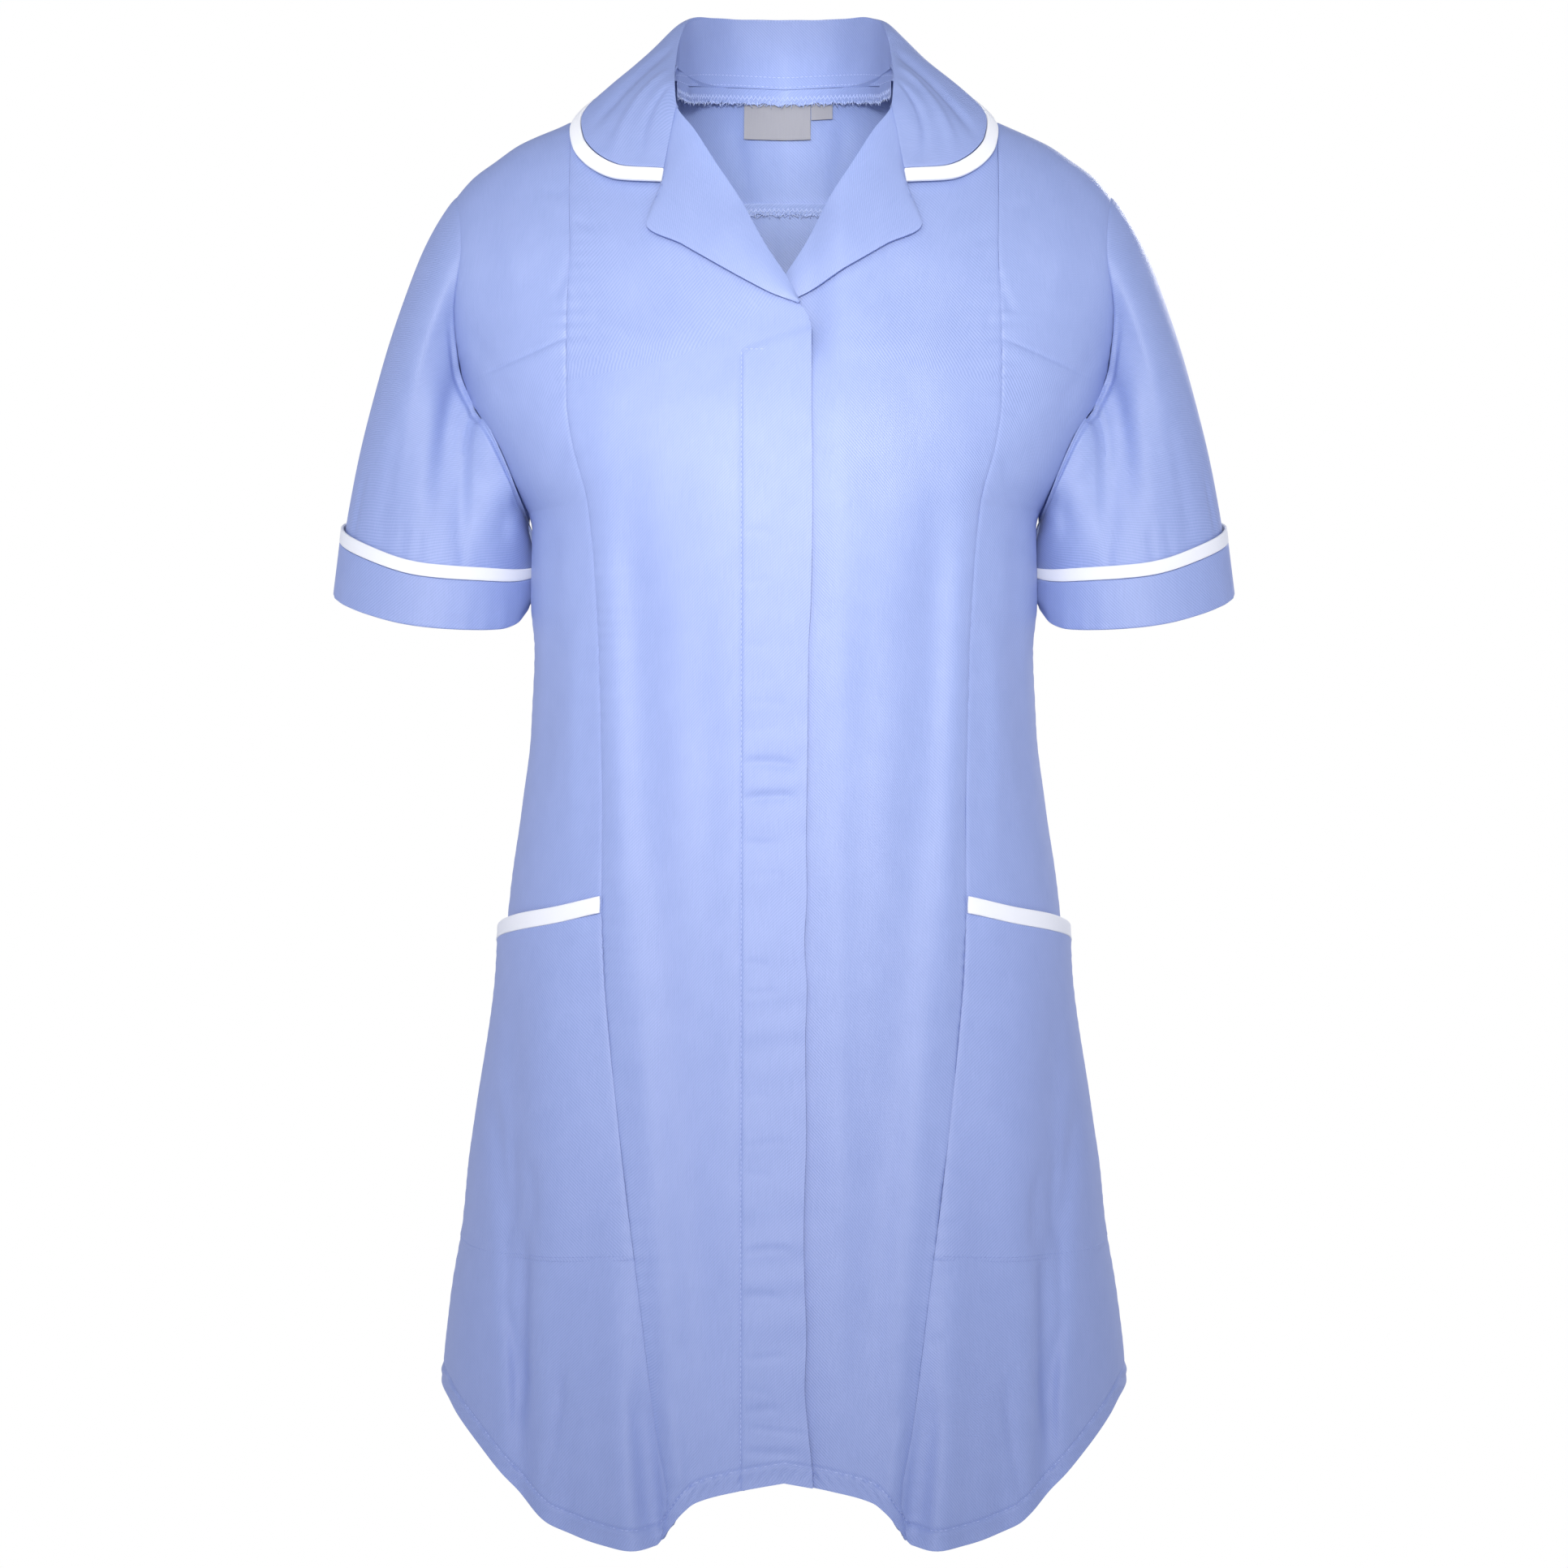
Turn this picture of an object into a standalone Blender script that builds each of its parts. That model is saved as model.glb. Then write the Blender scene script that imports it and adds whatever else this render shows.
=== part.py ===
"""A maternity tunic, filled out as if worn: every cut piece is a thin wall on one shared form.

Metres, +Z up. The origin lies between the shoulders, level with the sides of the neck, and the
front faces -Y. Places are given as across (from the centre line), depth and height. A half is
worked out at +X, the wearer's left, and turned over for the wearer's right.
"""

import math
from bisect import bisect_right
from collections import namedtuple
from functools import lru_cache

import bmesh
import bpy
from mathutils import Vector

# Cloth
CLOTH = 0.0012
FACED_CLOTH = 0.0020
CUFF_CLOTH = 0.0020
TRIM_CLOTH = 0.0026
CUFF_TRIM_CLOTH = 0.0016
LABEL_CLOTH = 0.0005
SEAM = 0.0003
HALF_SEAM = 0.0002
FRONT, BACK = -1, 1

# The form: level sections are rounded boxes, closed over towards the shoulder line
ROUNDNESS = 2.4
UNDERARM = -0.256
CLOSING = 3

Section = namedtuple("Section", "height half_width front back")
SECTIONS = (
    Section(-0.850, 0.2005, 0.1495, 0.1430),
    Section(-0.800, 0.1995, 0.1480, 0.1400),
    Section(-0.750, 0.1975, 0.1460, 0.1350),
    Section(-0.703, 0.1935, 0.1440, 0.1300),
    Section(-0.656, 0.1859, 0.1405, 0.1250),
    Section(-0.609, 0.1783, 0.1360, 0.1190),
    Section(-0.562, 0.1709, 0.1310, 0.1110),
    Section(-0.514, 0.1634, 0.1275, 0.1050),
    Section(-0.467, 0.1588, 0.1240, 0.1000),
    Section(-0.420, 0.1522, 0.1205, 0.0960),
    Section(-0.373, 0.1466, 0.1190, 0.0955),
    Section(-0.326, 0.1446, 0.1195, 0.0970),
    Section(-0.297, 0.1470, 0.1205, 0.0990),
    Section(-0.256, 0.1463, 0.1215, 0.1020),
    Section(-0.228, 0.1605, 0.1190, 0.1040),
    Section(-0.200, 0.1760, 0.1150, 0.1060),
    Section(-0.165, 0.1900, 0.1060, 0.1070),
    Section(-0.135, 0.2010, 0.0970, 0.1060),
    Section(-0.100, 0.2210, 0.0880, 0.1020),
    Section(-0.060, 0.2500, 0.0760, 0.0930),
    Section(-0.020, 0.2850, 0.0690, 0.0870),
    Section(0.120, 0.3300, 0.0660, 0.0840),
)

# The height at which front and back would meet, steep and unused inside the neck
ShoulderPoint = namedtuple("ShoulderPoint", "across height")
SHOULDER_LINE = (
    ShoulderPoint(0.000, 0.1150),
    ShoulderPoint(0.020, 0.0850),
    ShoulderPoint(0.040, 0.0450),
    ShoulderPoint(0.062, 0.0140),
    ShoulderPoint(0.085, -0.0005),
    ShoulderPoint(0.109, -0.0135),
    ShoulderPoint(0.123, -0.0192),
    ShoulderPoint(0.152, -0.0322),
    ShoulderPoint(0.167, -0.0425),
    ShoulderPoint(0.180, -0.0520),
    ShoulderPoint(0.190, -0.0630),
)

HemPoint = namedtuple("HemPoint", "across front back")
HEM = (
    HemPoint(0.0000, -0.7835, -0.8120),
    HemPoint(0.0247, -0.7880, -0.8120),
    HemPoint(0.0480, -0.7944, -0.8120),
    HemPoint(0.0555, -0.8002, -0.8118),
    HemPoint(0.0635, -0.8108, -0.8115),
    HemPoint(0.0696, -0.8183, -0.8110),
    HemPoint(0.0830, -0.8202, -0.8100),
    HemPoint(0.0980, -0.8190, -0.8080),
    HemPoint(0.1137, -0.8158, -0.8050),
    HemPoint(0.1283, -0.8108, -0.8000),
    HemPoint(0.1465, -0.7952, -0.7900),
    HemPoint(0.1660, -0.7760, -0.7750),
    HemPoint(0.1840, -0.7585, -0.7585),
    HemPoint(0.1900, -0.7513, -0.7520),
    HemPoint(0.1972, -0.7462, -0.7462),
)

# Lines on the form, as the distance from the centre line at each height
LinePoint = namedtuple("LinePoint", "height across")
PRINCESS_SEAM = (
    LinePoint(-0.818, 0.0670),
    LinePoint(-0.793, 0.0640),
    LinePoint(-0.757, 0.0701),
    LinePoint(-0.685, 0.0790),
    LinePoint(-0.597, 0.0905),
    LinePoint(-0.508, 0.0995),
    LinePoint(-0.464, 0.1010),
    LinePoint(-0.374, 0.1020),
    LinePoint(-0.285, 0.1060),
    LinePoint(-0.249, 0.1095),
    LinePoint(-0.213, 0.1185),
    LinePoint(-0.190, 0.1215),
    LinePoint(-0.148, 0.1220),
    LinePoint(-0.101, 0.1210),
    LinePoint(-0.074, 0.1220),
    LinePoint(-0.020, 0.1230),
)
ARMHOLE = (
    LinePoint(-0.256, 0.1463),
    LinePoint(-0.248, 0.1482),
    LinePoint(-0.228, 0.1555),
    LinePoint(-0.205, 0.1660),
    LinePoint(-0.182, 0.1768),
    LinePoint(-0.165, 0.1825),
    LinePoint(-0.135, 0.1860),
    LinePoint(-0.100, 0.1845),
    LinePoint(-0.075, 0.1875),
    LinePoint(-0.063, 0.1900),
)
BREAK_POINT = LinePoint(-0.1506, -0.0153)
GORGE_POINT = LinePoint(-0.0170, 0.0616)
ROLL_AND_NECK = (
    BREAK_POINT,
    LinePoint(-0.1430, -0.0131),
    LinePoint(-0.1365, -0.0086),
    LinePoint(-0.1232, -0.0018),
    LinePoint(-0.1017, 0.0118),
    LinePoint(-0.0752, 0.0255),
    LinePoint(-0.0527, 0.0394),
    LinePoint(-0.0326, 0.0512),
    GORGE_POINT,
    LinePoint(-0.0080, 0.0632),
    LinePoint(0.0000, 0.0640),
    LinePoint(0.0080, 0.0636),
    LinePoint(0.0140, 0.0620),
)

# Largest folds: a ridge has a positive lift and a trough a negative one
Fold = namedtuple("Fold", "top across_top low across_low spread lift_top lift_low")
FRONT_FOLDS = (
    Fold(-0.190, 0.1060, -0.840, 0.0560, 0.0110, 0.0020, 0.0035),
    Fold(-0.240, 0.0860, -0.760, 0.0420, 0.0150, -0.0025, -0.0020),
    Fold(-0.560, 0.0980, -0.900, 0.0800, 0.0120, 0.0000, 0.0110),
    Fold(-0.620, 0.0800, -0.900, 0.0640, 0.0070, 0.0000, -0.0060),
    Fold(-0.500, 0.1520, -0.860, 0.1430, 0.0080, -0.0050, -0.0090),
    Fold(-0.640, 0.1240, -0.900, 0.1180, 0.0090, 0.0000, -0.0060),
    Fold(-0.480, 0.1300, -0.700, 0.1280, 0.0140, 0.0030, 0.0040),
)
BACK_FOLDS = (
    Fold(-0.070, 0.0120, -0.560, 0.0160, 0.0070, -0.0035, -0.0015),
    Fold(-0.090, 0.0620, -0.900, 0.0520, 0.0130, -0.0030, -0.0070),
    Fold(-0.300, 0.0900, -0.900, 0.0860, 0.0150, 0.0010, 0.0080),
    Fold(-0.430, 0.1290, -0.900, 0.1270, 0.0110, -0.0020, -0.0090),
    Fold(-0.520, 0.0240, -0.900, 0.0220, 0.0140, 0.0010, 0.0060),
)
FOLD_RUN_OUT = 0.060

# Steps that settle a place on the form, where across and height follow from each other
SETTLING_STEPS = 20
EDGE_SETTLING_STEPS = 60

# Rows of panel points: 1 is the shoulder line, 0 the underarm, -1 the hem
PLACKET_STITCH = 0.0235
PLACKET_TOP = -0.1638
LEFT_FRONT_EDGE = -0.0150
LOW_ROWS = (-1, -0.978, -0.93, -0.85, -0.74, -0.62, -0.5, -0.375, -0.25, -0.12, 0)
HIGH_ROWS = (0.04, 0.1, 0.19, 0.36, 0.43, 0.5, 0.57, 0.65, 0.73, 0.8, 0.86, 0.91, 0.948, 0.975, 0.992, 1)
FRONT_COLUMNS = 8
SIDE_COLUMNS = 9

# Placket
PLACKET_CLOTH = 0.0022
PLACKET_LIFT = 0.0005
PLACKET_COLUMNS = 3
PLACKET_ROWS = 18

# The left front drops under the right one
UNDERLAP_START = 0.034
UNDERLAP_FULL = 0.012
UNDERLAP_DROP = 0.0028
UNDERLAP_DROP_AT_REVERS = 0.0042
UNDERLAP_LEVELS = (-0.172, -0.146)

# Reverses: how far along the roll line, and the free edge with its lift off the front
REVER_TIP = -0.1365
REVER_OVERHANG = 0.0008
REVER_ROLL_LIFT = 0.0018
REVER_PUFF = 0.0012
ReverPoint = namedtuple("ReverPoint", "along across height lift")
REVER_EDGE = (
    ReverPoint(0.00, -0.0080, -0.1372, 0.0019),
    ReverPoint(0.14, 0.0072, -0.1298, 0.0030),
    ReverPoint(0.27, 0.0185, -0.1258, 0.0036),
    ReverPoint(0.48, 0.0403, -0.1112, 0.0040),
    ReverPoint(0.64, 0.0568, -0.1017, 0.0036),
    ReverPoint(0.82, 0.0772, -0.0900, 0.0032),
    ReverPoint(0.90, 0.0732, -0.0765, 0.0028),
    ReverPoint(0.95, 0.0704, -0.0718, 0.0026),
    ReverPoint(1.00, 0.0693, -0.0638, 0.0026),
)
REVER_COLUMNS = (0, 0.2, 0.5, 0.8, 1)
REVER_ROWS = (0, 0.07, 0.14, 0.27, 0.38, 0.48, 0.56, 0.64, 0.73, 0.82, 0.9, 0.95, 1)

# Back yoke
YOKE_SEAM_AT_CENTRE = -0.056
YOKE_SEAM_DROP = 0.042
YOKE_NECK_DIP = 0.0020
SIDE_NECK = 0.062
YOKE_ACROSS = (0, 0.014, 0.028, 0.041, 0.052, 0.062, 0.078, 0.096, 0.114, 0.132, 0.150, 0.166, 0.180, 0.190)
YOKE_ROWS = 7
YOKE_CURVE = 2
YOKE_INSET_CURVE = 4
BACK_COLUMNS = 22
BACK_HIGH_ROWS = (0.05, 0.13, 0.24, 0.38, 0.55, 0.77, 1)

# Collar: roll edge, neck seam and outer edge at stations from centre back (0) to the gorge (1)
CollarStation = namedtuple(
    "CollarStation",
    "along roll_across roll_depth roll_height seam_across seam_depth seam_height"
    " edge_across edge_depth edge_height",
)
COLLAR = (
    CollarStation(0.00, 0.0000, 0.0720, 0.0511, 0.0000, 0.0700, 0.0120, 0.0000, 0.0790, -0.0100),
    CollarStation(0.12, 0.0250, 0.0680, 0.0511, 0.0240, 0.0615, 0.0125, 0.0380, 0.0665, -0.0115),
    CollarStation(0.24, 0.0450, 0.0530, 0.0503, 0.0410, 0.0480, 0.0130, 0.0720, 0.0500, -0.0130),
    CollarStation(0.36, 0.0570, 0.0350, 0.0460, 0.0525, 0.0320, 0.0140, 0.0960, 0.0360, -0.0125),
    CollarStation(0.46, 0.0610, 0.0200, 0.0380, 0.0585, 0.0180, 0.0150, 0.1005, 0.0160, -0.0070),
    CollarStation(0.55, 0.0632, 0.0070, 0.0270, 0.0610, 0.0050, 0.0155, 0.1088, -0.0040, -0.0108),
    CollarStation(0.64, 0.0643, -0.0080, 0.0150, 0.0616, -0.0100, 0.0115, 0.1205, -0.0262, -0.0285),
    CollarStation(0.73, 0.0646, -0.0190, 0.0065, 0.0622, -0.0185, 0.0060, 0.1197, -0.0378, -0.0404),
    CollarStation(0.82, 0.0640, -0.0285, -0.0005, 0.0640, -0.0270, -0.0015, 0.1125, -0.0480, -0.0520),
    CollarStation(0.91, 0.0630, -0.0355, -0.0085, 0.0630, -0.0330, -0.0090, 0.0950, -0.0580, -0.0608),
    CollarStation(1.00, 0.0616, -0.0412, -0.0165, 0.0618, -0.0385, -0.0170, 0.0693, -0.0640, -0.0630),
)
COLLAR_COLUMNS = 28
COLLAR_TRIM_WIDTH = 0.0082
COLLAR_TRIM_GAP = 0.014
COLLAR_ROLL_REACH = 0.0095
COLLAR_ROLL_RISE = 0.0030
COLLAR_FULLNESS = 0.04
COLLAR_INSET = 0.0020
COLLAR_FLAT_END = 6
COLLAR_FLAT_REACH = 0.3
COLLAR_LOWER_REACH = 0.35
FALL_ROWS = (0, 0.1, 0.25, 0.5, 0.75, 1)
STAND_REACH = 0.60
STAND_COLUMNS = 18
STAND_ROWS = 3
STAND_TOP_ROOM = 0.0026
STAND_FOOT_ROOM = 0.0007
STAND_CLOTH = 0.0018

# Sleeves
SLEEVE_SIDES = 28
SLEEVE_ROWS = (0, 0.05, 0.13, 0.25, 0.38, 0.52, 0.66, 0.8, 0.9, 1)
SLEEVE_TOP_WAY = Vector((0.72, 0.0, -0.69))
SLEEVE_MID_WAY = Vector((0.70, 0.28, -0.62))
SLEEVE_LOW_WAY = Vector((0.35, 0.0, -0.94))
SLEEVE_FALL = Vector((0.153, 0.0, -0.988))
SLEEVE_START_REACH = 0.18
SLEEVE_END_REACH = 0.34
SLEEVE_INSIDE_CUFF = 0.0024
SLEEVE_TUCK = 0.16
SLEEVE_SEAM = 0.0012
ARMHOLE_SAMPLES = 80
ARMHOLE_STEP = 0.01
UNDER_THE_ARM = 0.1

# Cuffs: an oval ring at the trim's top and one at the bottom edge
Ring = namedtuple("Ring", "level across height half_width half_depth slope dip")
CUFF_RINGS = (
    Ring(0.0, 0.2020, -0.2648, 0.0552, 0.0480, 0.199, 0.0125),
    Ring(1.0, 0.2050, -0.3012, 0.0568, 0.0495, 0.143, 0.0130),
)
CUFF_TRIM_LEVEL = 0.21
CUFF_GAP_LEVEL = 0.008
CUFF_ROWS = (CUFF_TRIM_LEVEL + CUFF_GAP_LEVEL, 0.6, 1)
CUFF_INNER_RISE = 0.0080
CUFF_INNER_REACH = 12

# Pockets: heights of the trim's two edges and of the bottom, across the side panel
PocketColumn = namedtuple("PocketColumn", "share trim_top mouth bottom")
POCKET = (
    PocketColumn(0.00, -0.4662, -0.4756, -0.6640),
    PocketColumn(0.25, -0.4727, -0.4822, -0.6670),
    PocketColumn(0.55, -0.4780, -0.4875, -0.6680),
    PocketColumn(0.80, -0.4835, -0.4920, -0.6665),
    PocketColumn(1.00, -0.4900, -0.4975, -0.6640),
)
POCKET_ROWS = (0, 0.07, 0.2, 0.35, 0.5, 0.65, 0.82, 1)
POCKET_GAP = 0.0008
POCKET_STAND_OFF = 0.0024
POCKET_MIDDLE_STAND_OFF = 0.0016
POCKET_SIDE_CURVE = 1.5
POCKET_TRIM_CLOTH = 0.0016

# Labels inside the back neck
Label = namedtuple("Label", "left right top bottom")
NECK_LABEL = Label(-0.0249, 0.0166, 0.0040, -0.0170)
SIZE_LABEL = Label(0.0170, 0.0303, 0.0040, -0.0058)
LABEL_GAP = 0.0012
LABEL_COLUMNS = 4

SHARP_EDGE = math.radians(50)
ROUGHNESS = 0.85

CLOTH_COLOUR = (0.36, 0.45, 0.80)
TRIM_COLOUR = (0.92, 0.93, 0.96)
LABEL_COLOUR = (0.55, 0.54, 0.58)


# Reading tables

def read(table, at, column=1):
    """A table's column at a value of its first one, on a smooth curve with no overshoot."""
    keys = [row[0] for row in table]
    values = [row[column] for row in table]
    at = min(max(at, keys[0]), keys[-1])
    i = min(max(bisect_right(keys, at) - 1, 0), len(keys) - 2)

    def steepness(j):
        return (values[j + 1] - values[j]) / (keys[j + 1] - keys[j])

    def slope(j):
        if j == 0 or j == len(keys) - 1:
            return steepness(min(j, len(keys) - 2))
        before, after = steepness(j - 1), steepness(j)
        return 0.0 if before * after <= 0 else 2 * before * after / (before + after)

    span = keys[i + 1] - keys[i]
    t = (at - keys[i]) / span
    rest = 1 - t
    return (
        values[i] * rest * rest * (1 + 2 * t)
        + values[i + 1] * t * t * (3 - 2 * t)
        + slope(i) * span * t * rest * rest
        - slope(i + 1) * span * t * t * rest
    )


def mix(start, end, share):
    return start + (end - start) * share


def ease(start, end, value):
    """0 before start, 1 past end, with a soft change between them. Start may be above end."""
    t = min(max((value - start) / (end - start), 0.0), 1.0)
    return t * t * (3 - 2 * t)


# The form

@lru_cache(None)
def shoulder_line(across):
    return read(SHOULDER_LINE, abs(across))


@lru_cache(None)
def half_width(height):
    return read(SECTIONS, height, 1)


def folds(across, height, face):
    total = 0.0
    for fold in FRONT_FOLDS if face == FRONT else BACK_FOLDS:
        share = (fold.top - height) / (fold.top - fold.low)
        if share <= 0 or share >= 1:
            continue
        middle = mix(fold.across_top, fold.across_low, share)
        fade_in = ease(fold.top, fold.top - FOLD_RUN_OUT, height)
        fade_out = ease(fold.low, fold.low + FOLD_RUN_OUT, height)
        lift = mix(fold.lift_top, fold.lift_low, share)
        total += lift * fade_in * fade_out * math.exp(-(((abs(across) - middle) / fold.spread) ** 2))
    return total


@lru_cache(None)
def full_depth(across, height, face):
    column = 2 if face == FRONT else 3
    return read(SECTIONS, height, column) + folds(across, height, face)


def closing(across, height):
    """1 below the underarm, down to 0 on the shoulder line."""
    rise = (height - UNDERARM) / (shoulder_line(across) - UNDERARM)
    return 1 - max(rise, 0.0) ** CLOSING


def roundness(across, height):
    """1 on the centre line, down to 0 at the side, where it turns negative."""
    left = 1 - (abs(across) / half_width(height)) ** ROUNDNESS
    return math.copysign(abs(left) ** (2 / ROUNDNESS), left)


def off_form(across, depth, height, face):
    """0 on the form, above 0 outside it."""
    share = depth / full_depth(across, height, face)
    return share**2 - closing(across, height) * roundness(across, height)


NORMAL_STEP = 0.0002
SKIN_STEP = 0.004


def form_normal(across, depth, height, face):
    steps = (Vector((NORMAL_STEP, 0, 0)), Vector((0, NORMAL_STEP, 0)), Vector((0, 0, NORMAL_STEP)))
    here = Vector((across, depth, height))
    slopes = [off_form(*(here + step), face) - off_form(*(here - step), face) for step in steps]
    return Vector(slopes).normalized()


@lru_cache(None)
def form_parts(across, height, face):
    swell = max(closing(across, height), 0.0) * max(roundness(across, height), 0.0)
    depth = face * full_depth(across, height, face) * math.sqrt(swell)
    return depth, form_normal(across, depth, height, face)


def on_form(across, height, face, lift=0.0):
    """The point of the form at a place of the front or the back, moved out by lift."""
    depth, normal = form_parts(across, height, face)
    return Vector((across, depth + face * HALF_SEAM, height)) + normal * lift


def turn(across, height):
    """The place round the form, as an angle from its centre line."""
    share = min(abs(across) / half_width(height), 1.0)
    return math.copysign(math.asin(share ** (ROUNDNESS / 2)), across)


def across_at(angle, height):
    return math.copysign(half_width(height) * abs(math.sin(angle)) ** (2 / ROUNDNESS), angle)


# Meshes

def clear_scene():
    for thing in list(bpy.data.objects):
        bpy.data.objects.remove(thing)


def material(name, colour):
    made = bpy.data.materials.new(name)
    made.use_nodes = True
    shader = made.node_tree.nodes["Principled BSDF"]
    shader.inputs["Base Color"].default_value = (*colour, 1)
    shader.inputs["Roughness"].default_value = ROUGHNESS
    shader.inputs["Metallic"].default_value = 0.0
    return made


def wall(name, columns, rows, outside, inside, colour=CLOTH_COLOUR, tube=False, turned_over=False):
    """A closed wall: a grid laid on outside(column, row), with its other skin on inside(column, row)."""
    mesh = bmesh.new()
    bmesh.ops.create_grid(mesh, x_segments=len(columns) - 1, y_segments=len(rows) - 1, size=1)
    skin = bmesh.ops.extrude_face_region(mesh, geom=mesh.faces[:])
    outer = {part for part in skin["geom"] if isinstance(part, bmesh.types.BMVert)}

    def place(vert):
        column = round((vert.co.x + 1) / 2 * (len(columns) - 1))
        row = round((vert.co.y + 1) / 2 * (len(rows) - 1))
        return column, row

    if tube:
        ends = {0, len(columns) - 1}
        rims = [face for face in mesh.faces if len({place(vert)[0] for vert in face.verts} | ends) == 2]
        bmesh.ops.delete(mesh, geom=rims, context="FACES")
    for vert in mesh.verts:
        column, row = place(vert)
        made = (outside if vert in outer else inside)(columns[column], rows[row])
        vert.co = (-made.x, made.y, made.z) if turned_over else made
    if tube:
        bmesh.ops.remove_doubles(mesh, verts=mesh.verts[:], dist=1e-6)
    bmesh.ops.recalc_face_normals(mesh, faces=mesh.faces[:])
    if mesh.calc_volume(signed=True) < 0:
        bmesh.ops.reverse_faces(mesh, faces=mesh.faces[:])
    data = bpy.data.meshes.new(name)
    mesh.to_mesh(data)
    mesh.free()
    data.shade_smooth()
    data.set_sharp_from_angle(angle=SHARP_EDGE)
    data.materials.append(material(name, colour))
    made = bpy.data.objects.new(name, data)
    bpy.context.scene.collection.objects.link(made)
    return made


def shares(count):
    return [i / count for i in range(count + 1)]


def skin_normal(surface, column, row, step, flip):
    """A surface's normal from its neighbouring points."""
    along = surface(column + step, row) - surface(column - step, row)
    down = surface(column, row + step) - surface(column, row - step)
    return along.cross(down).normalized() * flip


def both_sides(build):
    for side in ("left", "right"):
        build(side, side == "right")


# Panels

def front_level(row, across):
    if row <= 0:
        return mix(UNDERARM, read(HEM, abs(across), 1), -row)
    return mix(UNDERARM, shoulder_line(across), row)


def back_level(row, across):
    if row <= 0:
        return mix(UNDERARM, read(HEM, abs(across), 2), -row)
    return mix(UNDERARM, yoke_seam(across) - HALF_SEAM, row)


def line_edge(line, level, shift=0.0):
    """Where each row of a panel ends on a line of the form."""
    @lru_cache(None)
    def end(row):
        height = level(row, line(UNDERARM) + shift)
        for _ in range(EDGE_SETTLING_STEPS):
            height = mix(height, level(row, line(height) + shift), 0.5)
        return line(height) + shift, height
    return end


def princess_line(height):
    return read(PRINCESS_SEAM, height)


def side_line(height):
    return read(ARMHOLE, height) if height > UNDERARM else half_width(height)


def roll_line(height):
    return read(ROLL_AND_NECK, height)


def row_through(across, height):
    return (height - UNDERARM) / (shoulder_line(across) - UNDERARM)


PLACKET_TOP_ROW = row_through(PLACKET_STITCH, PLACKET_TOP)
BREAK_ROW = row_through(BREAK_POINT.across, BREAK_POINT.height)
FRONT_ROWS = sorted(LOW_ROWS + HIGH_ROWS + (PLACKET_TOP_ROW, BREAK_ROW))


def straight_between(start, end, level, share, row):
    across = mix(start(row)[0], end(row)[0], share)
    return across, level(row, across)


def round_between(start, end, level, share, row):
    """A place between two edges, evenly by angle round the form."""
    angle = mix(turn(*start(row)), turn(*end(row)), share)
    height = mix(start(row)[1], end(row)[1], share)
    for _ in range(SETTLING_STEPS):
        across = across_at(angle, height)
        height = level(row, across)
    return across, height


def front_piece(name, inner_edge, drop, turned_over):
    princess = line_edge(princess_line, front_level, -SEAM / 2)

    def skin(lift):
        def point(share, row):
            across, height = straight_between(inner_edge, princess, front_level, share, row)
            return on_form(across, height, FRONT, lift - drop(across, height))
        return point

    wall(name, shares(FRONT_COLUMNS), FRONT_ROWS, skin(0), skin(-CLOTH), turned_over=turned_over)


def no_drop(across, height):
    return 0.0


def underlap_drop(across, height):
    drop = mix(UNDERLAP_DROP, UNDERLAP_DROP + UNDERLAP_DROP_AT_REVERS, ease(*UNDERLAP_LEVELS, height))
    return drop * ease(UNDERLAP_START, UNDERLAP_FULL, across)


def front_edge(across_below_break):
    """The inner edge of a front: straight below the break point, then the roll line and the neck."""
    rolled = line_edge(roll_line, front_level)

    def end(row):
        if row < BREAK_ROW:
            return across_below_break, front_level(row, across_below_break)
        if row == BREAK_ROW:
            return BREAK_POINT.across, BREAK_POINT.height
        return rolled(row)
    return end


def front_right():
    front_piece("front_right", front_edge(PLACKET_STITCH), no_drop, True)


def front_left():
    front_piece("front_left", front_edge(LEFT_FRONT_EDGE), underlap_drop, False)


def placket():
    """The strip between the stitch line and the front edge, up to the crease under the rever."""
    start = PLACKET_STITCH - SEAM
    end = BREAK_POINT.across
    top_start = PLACKET_TOP - SEAM
    top_end = BREAK_POINT.height - SEAM

    def skin(lift):
        def point(share, row):
            across = mix(start, end, share)
            height = mix(read(HEM, abs(across), 1), mix(top_start, top_end, share), row)
            return on_form(across, height, FRONT, lift)
        return point

    wall(
        "placket",
        shares(PLACKET_COLUMNS),
        shares(PLACKET_ROWS),
        skin(PLACKET_LIFT),
        skin(PLACKET_LIFT - PLACKET_CLOTH),
        turned_over=True,
    )


def side_fronts():
    princess = line_edge(princess_line, front_level, SEAM / 2)
    side = line_edge(side_line, front_level)

    def skin(lift):
        def point(share, row):
            across, height = round_between(princess, side, front_level, share, row)
            return on_form(across, height, FRONT, lift)
        return point

    def build(side_name, turned_over):
        wall(
            f"side_front_{side_name}",
            shares(SIDE_COLUMNS),
            FRONT_ROWS,
            skin(0),
            skin(-CLOTH),
            turned_over=turned_over,
        )

    both_sides(build)


def yoke_seam(across):
    return YOKE_SEAM_AT_CENTRE - YOKE_SEAM_DROP * (across / ARMHOLE[-1].across) ** 2


def back_panel():
    side = line_edge(side_line, back_level)

    def skin(lift):
        def point(share, row):
            reach, height = side(row)
            angle = turn(reach, height) * share
            for _ in range(SETTLING_STEPS):
                across = across_at(angle, height)
                height = back_level(row, across)
            return on_form(across, height, BACK, lift)
        return point

    columns = [2 * share - 1 for share in shares(BACK_COLUMNS)]
    wall("back_panel", columns, LOW_ROWS + BACK_HIGH_ROWS, skin(0), skin(-CLOTH))


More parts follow.
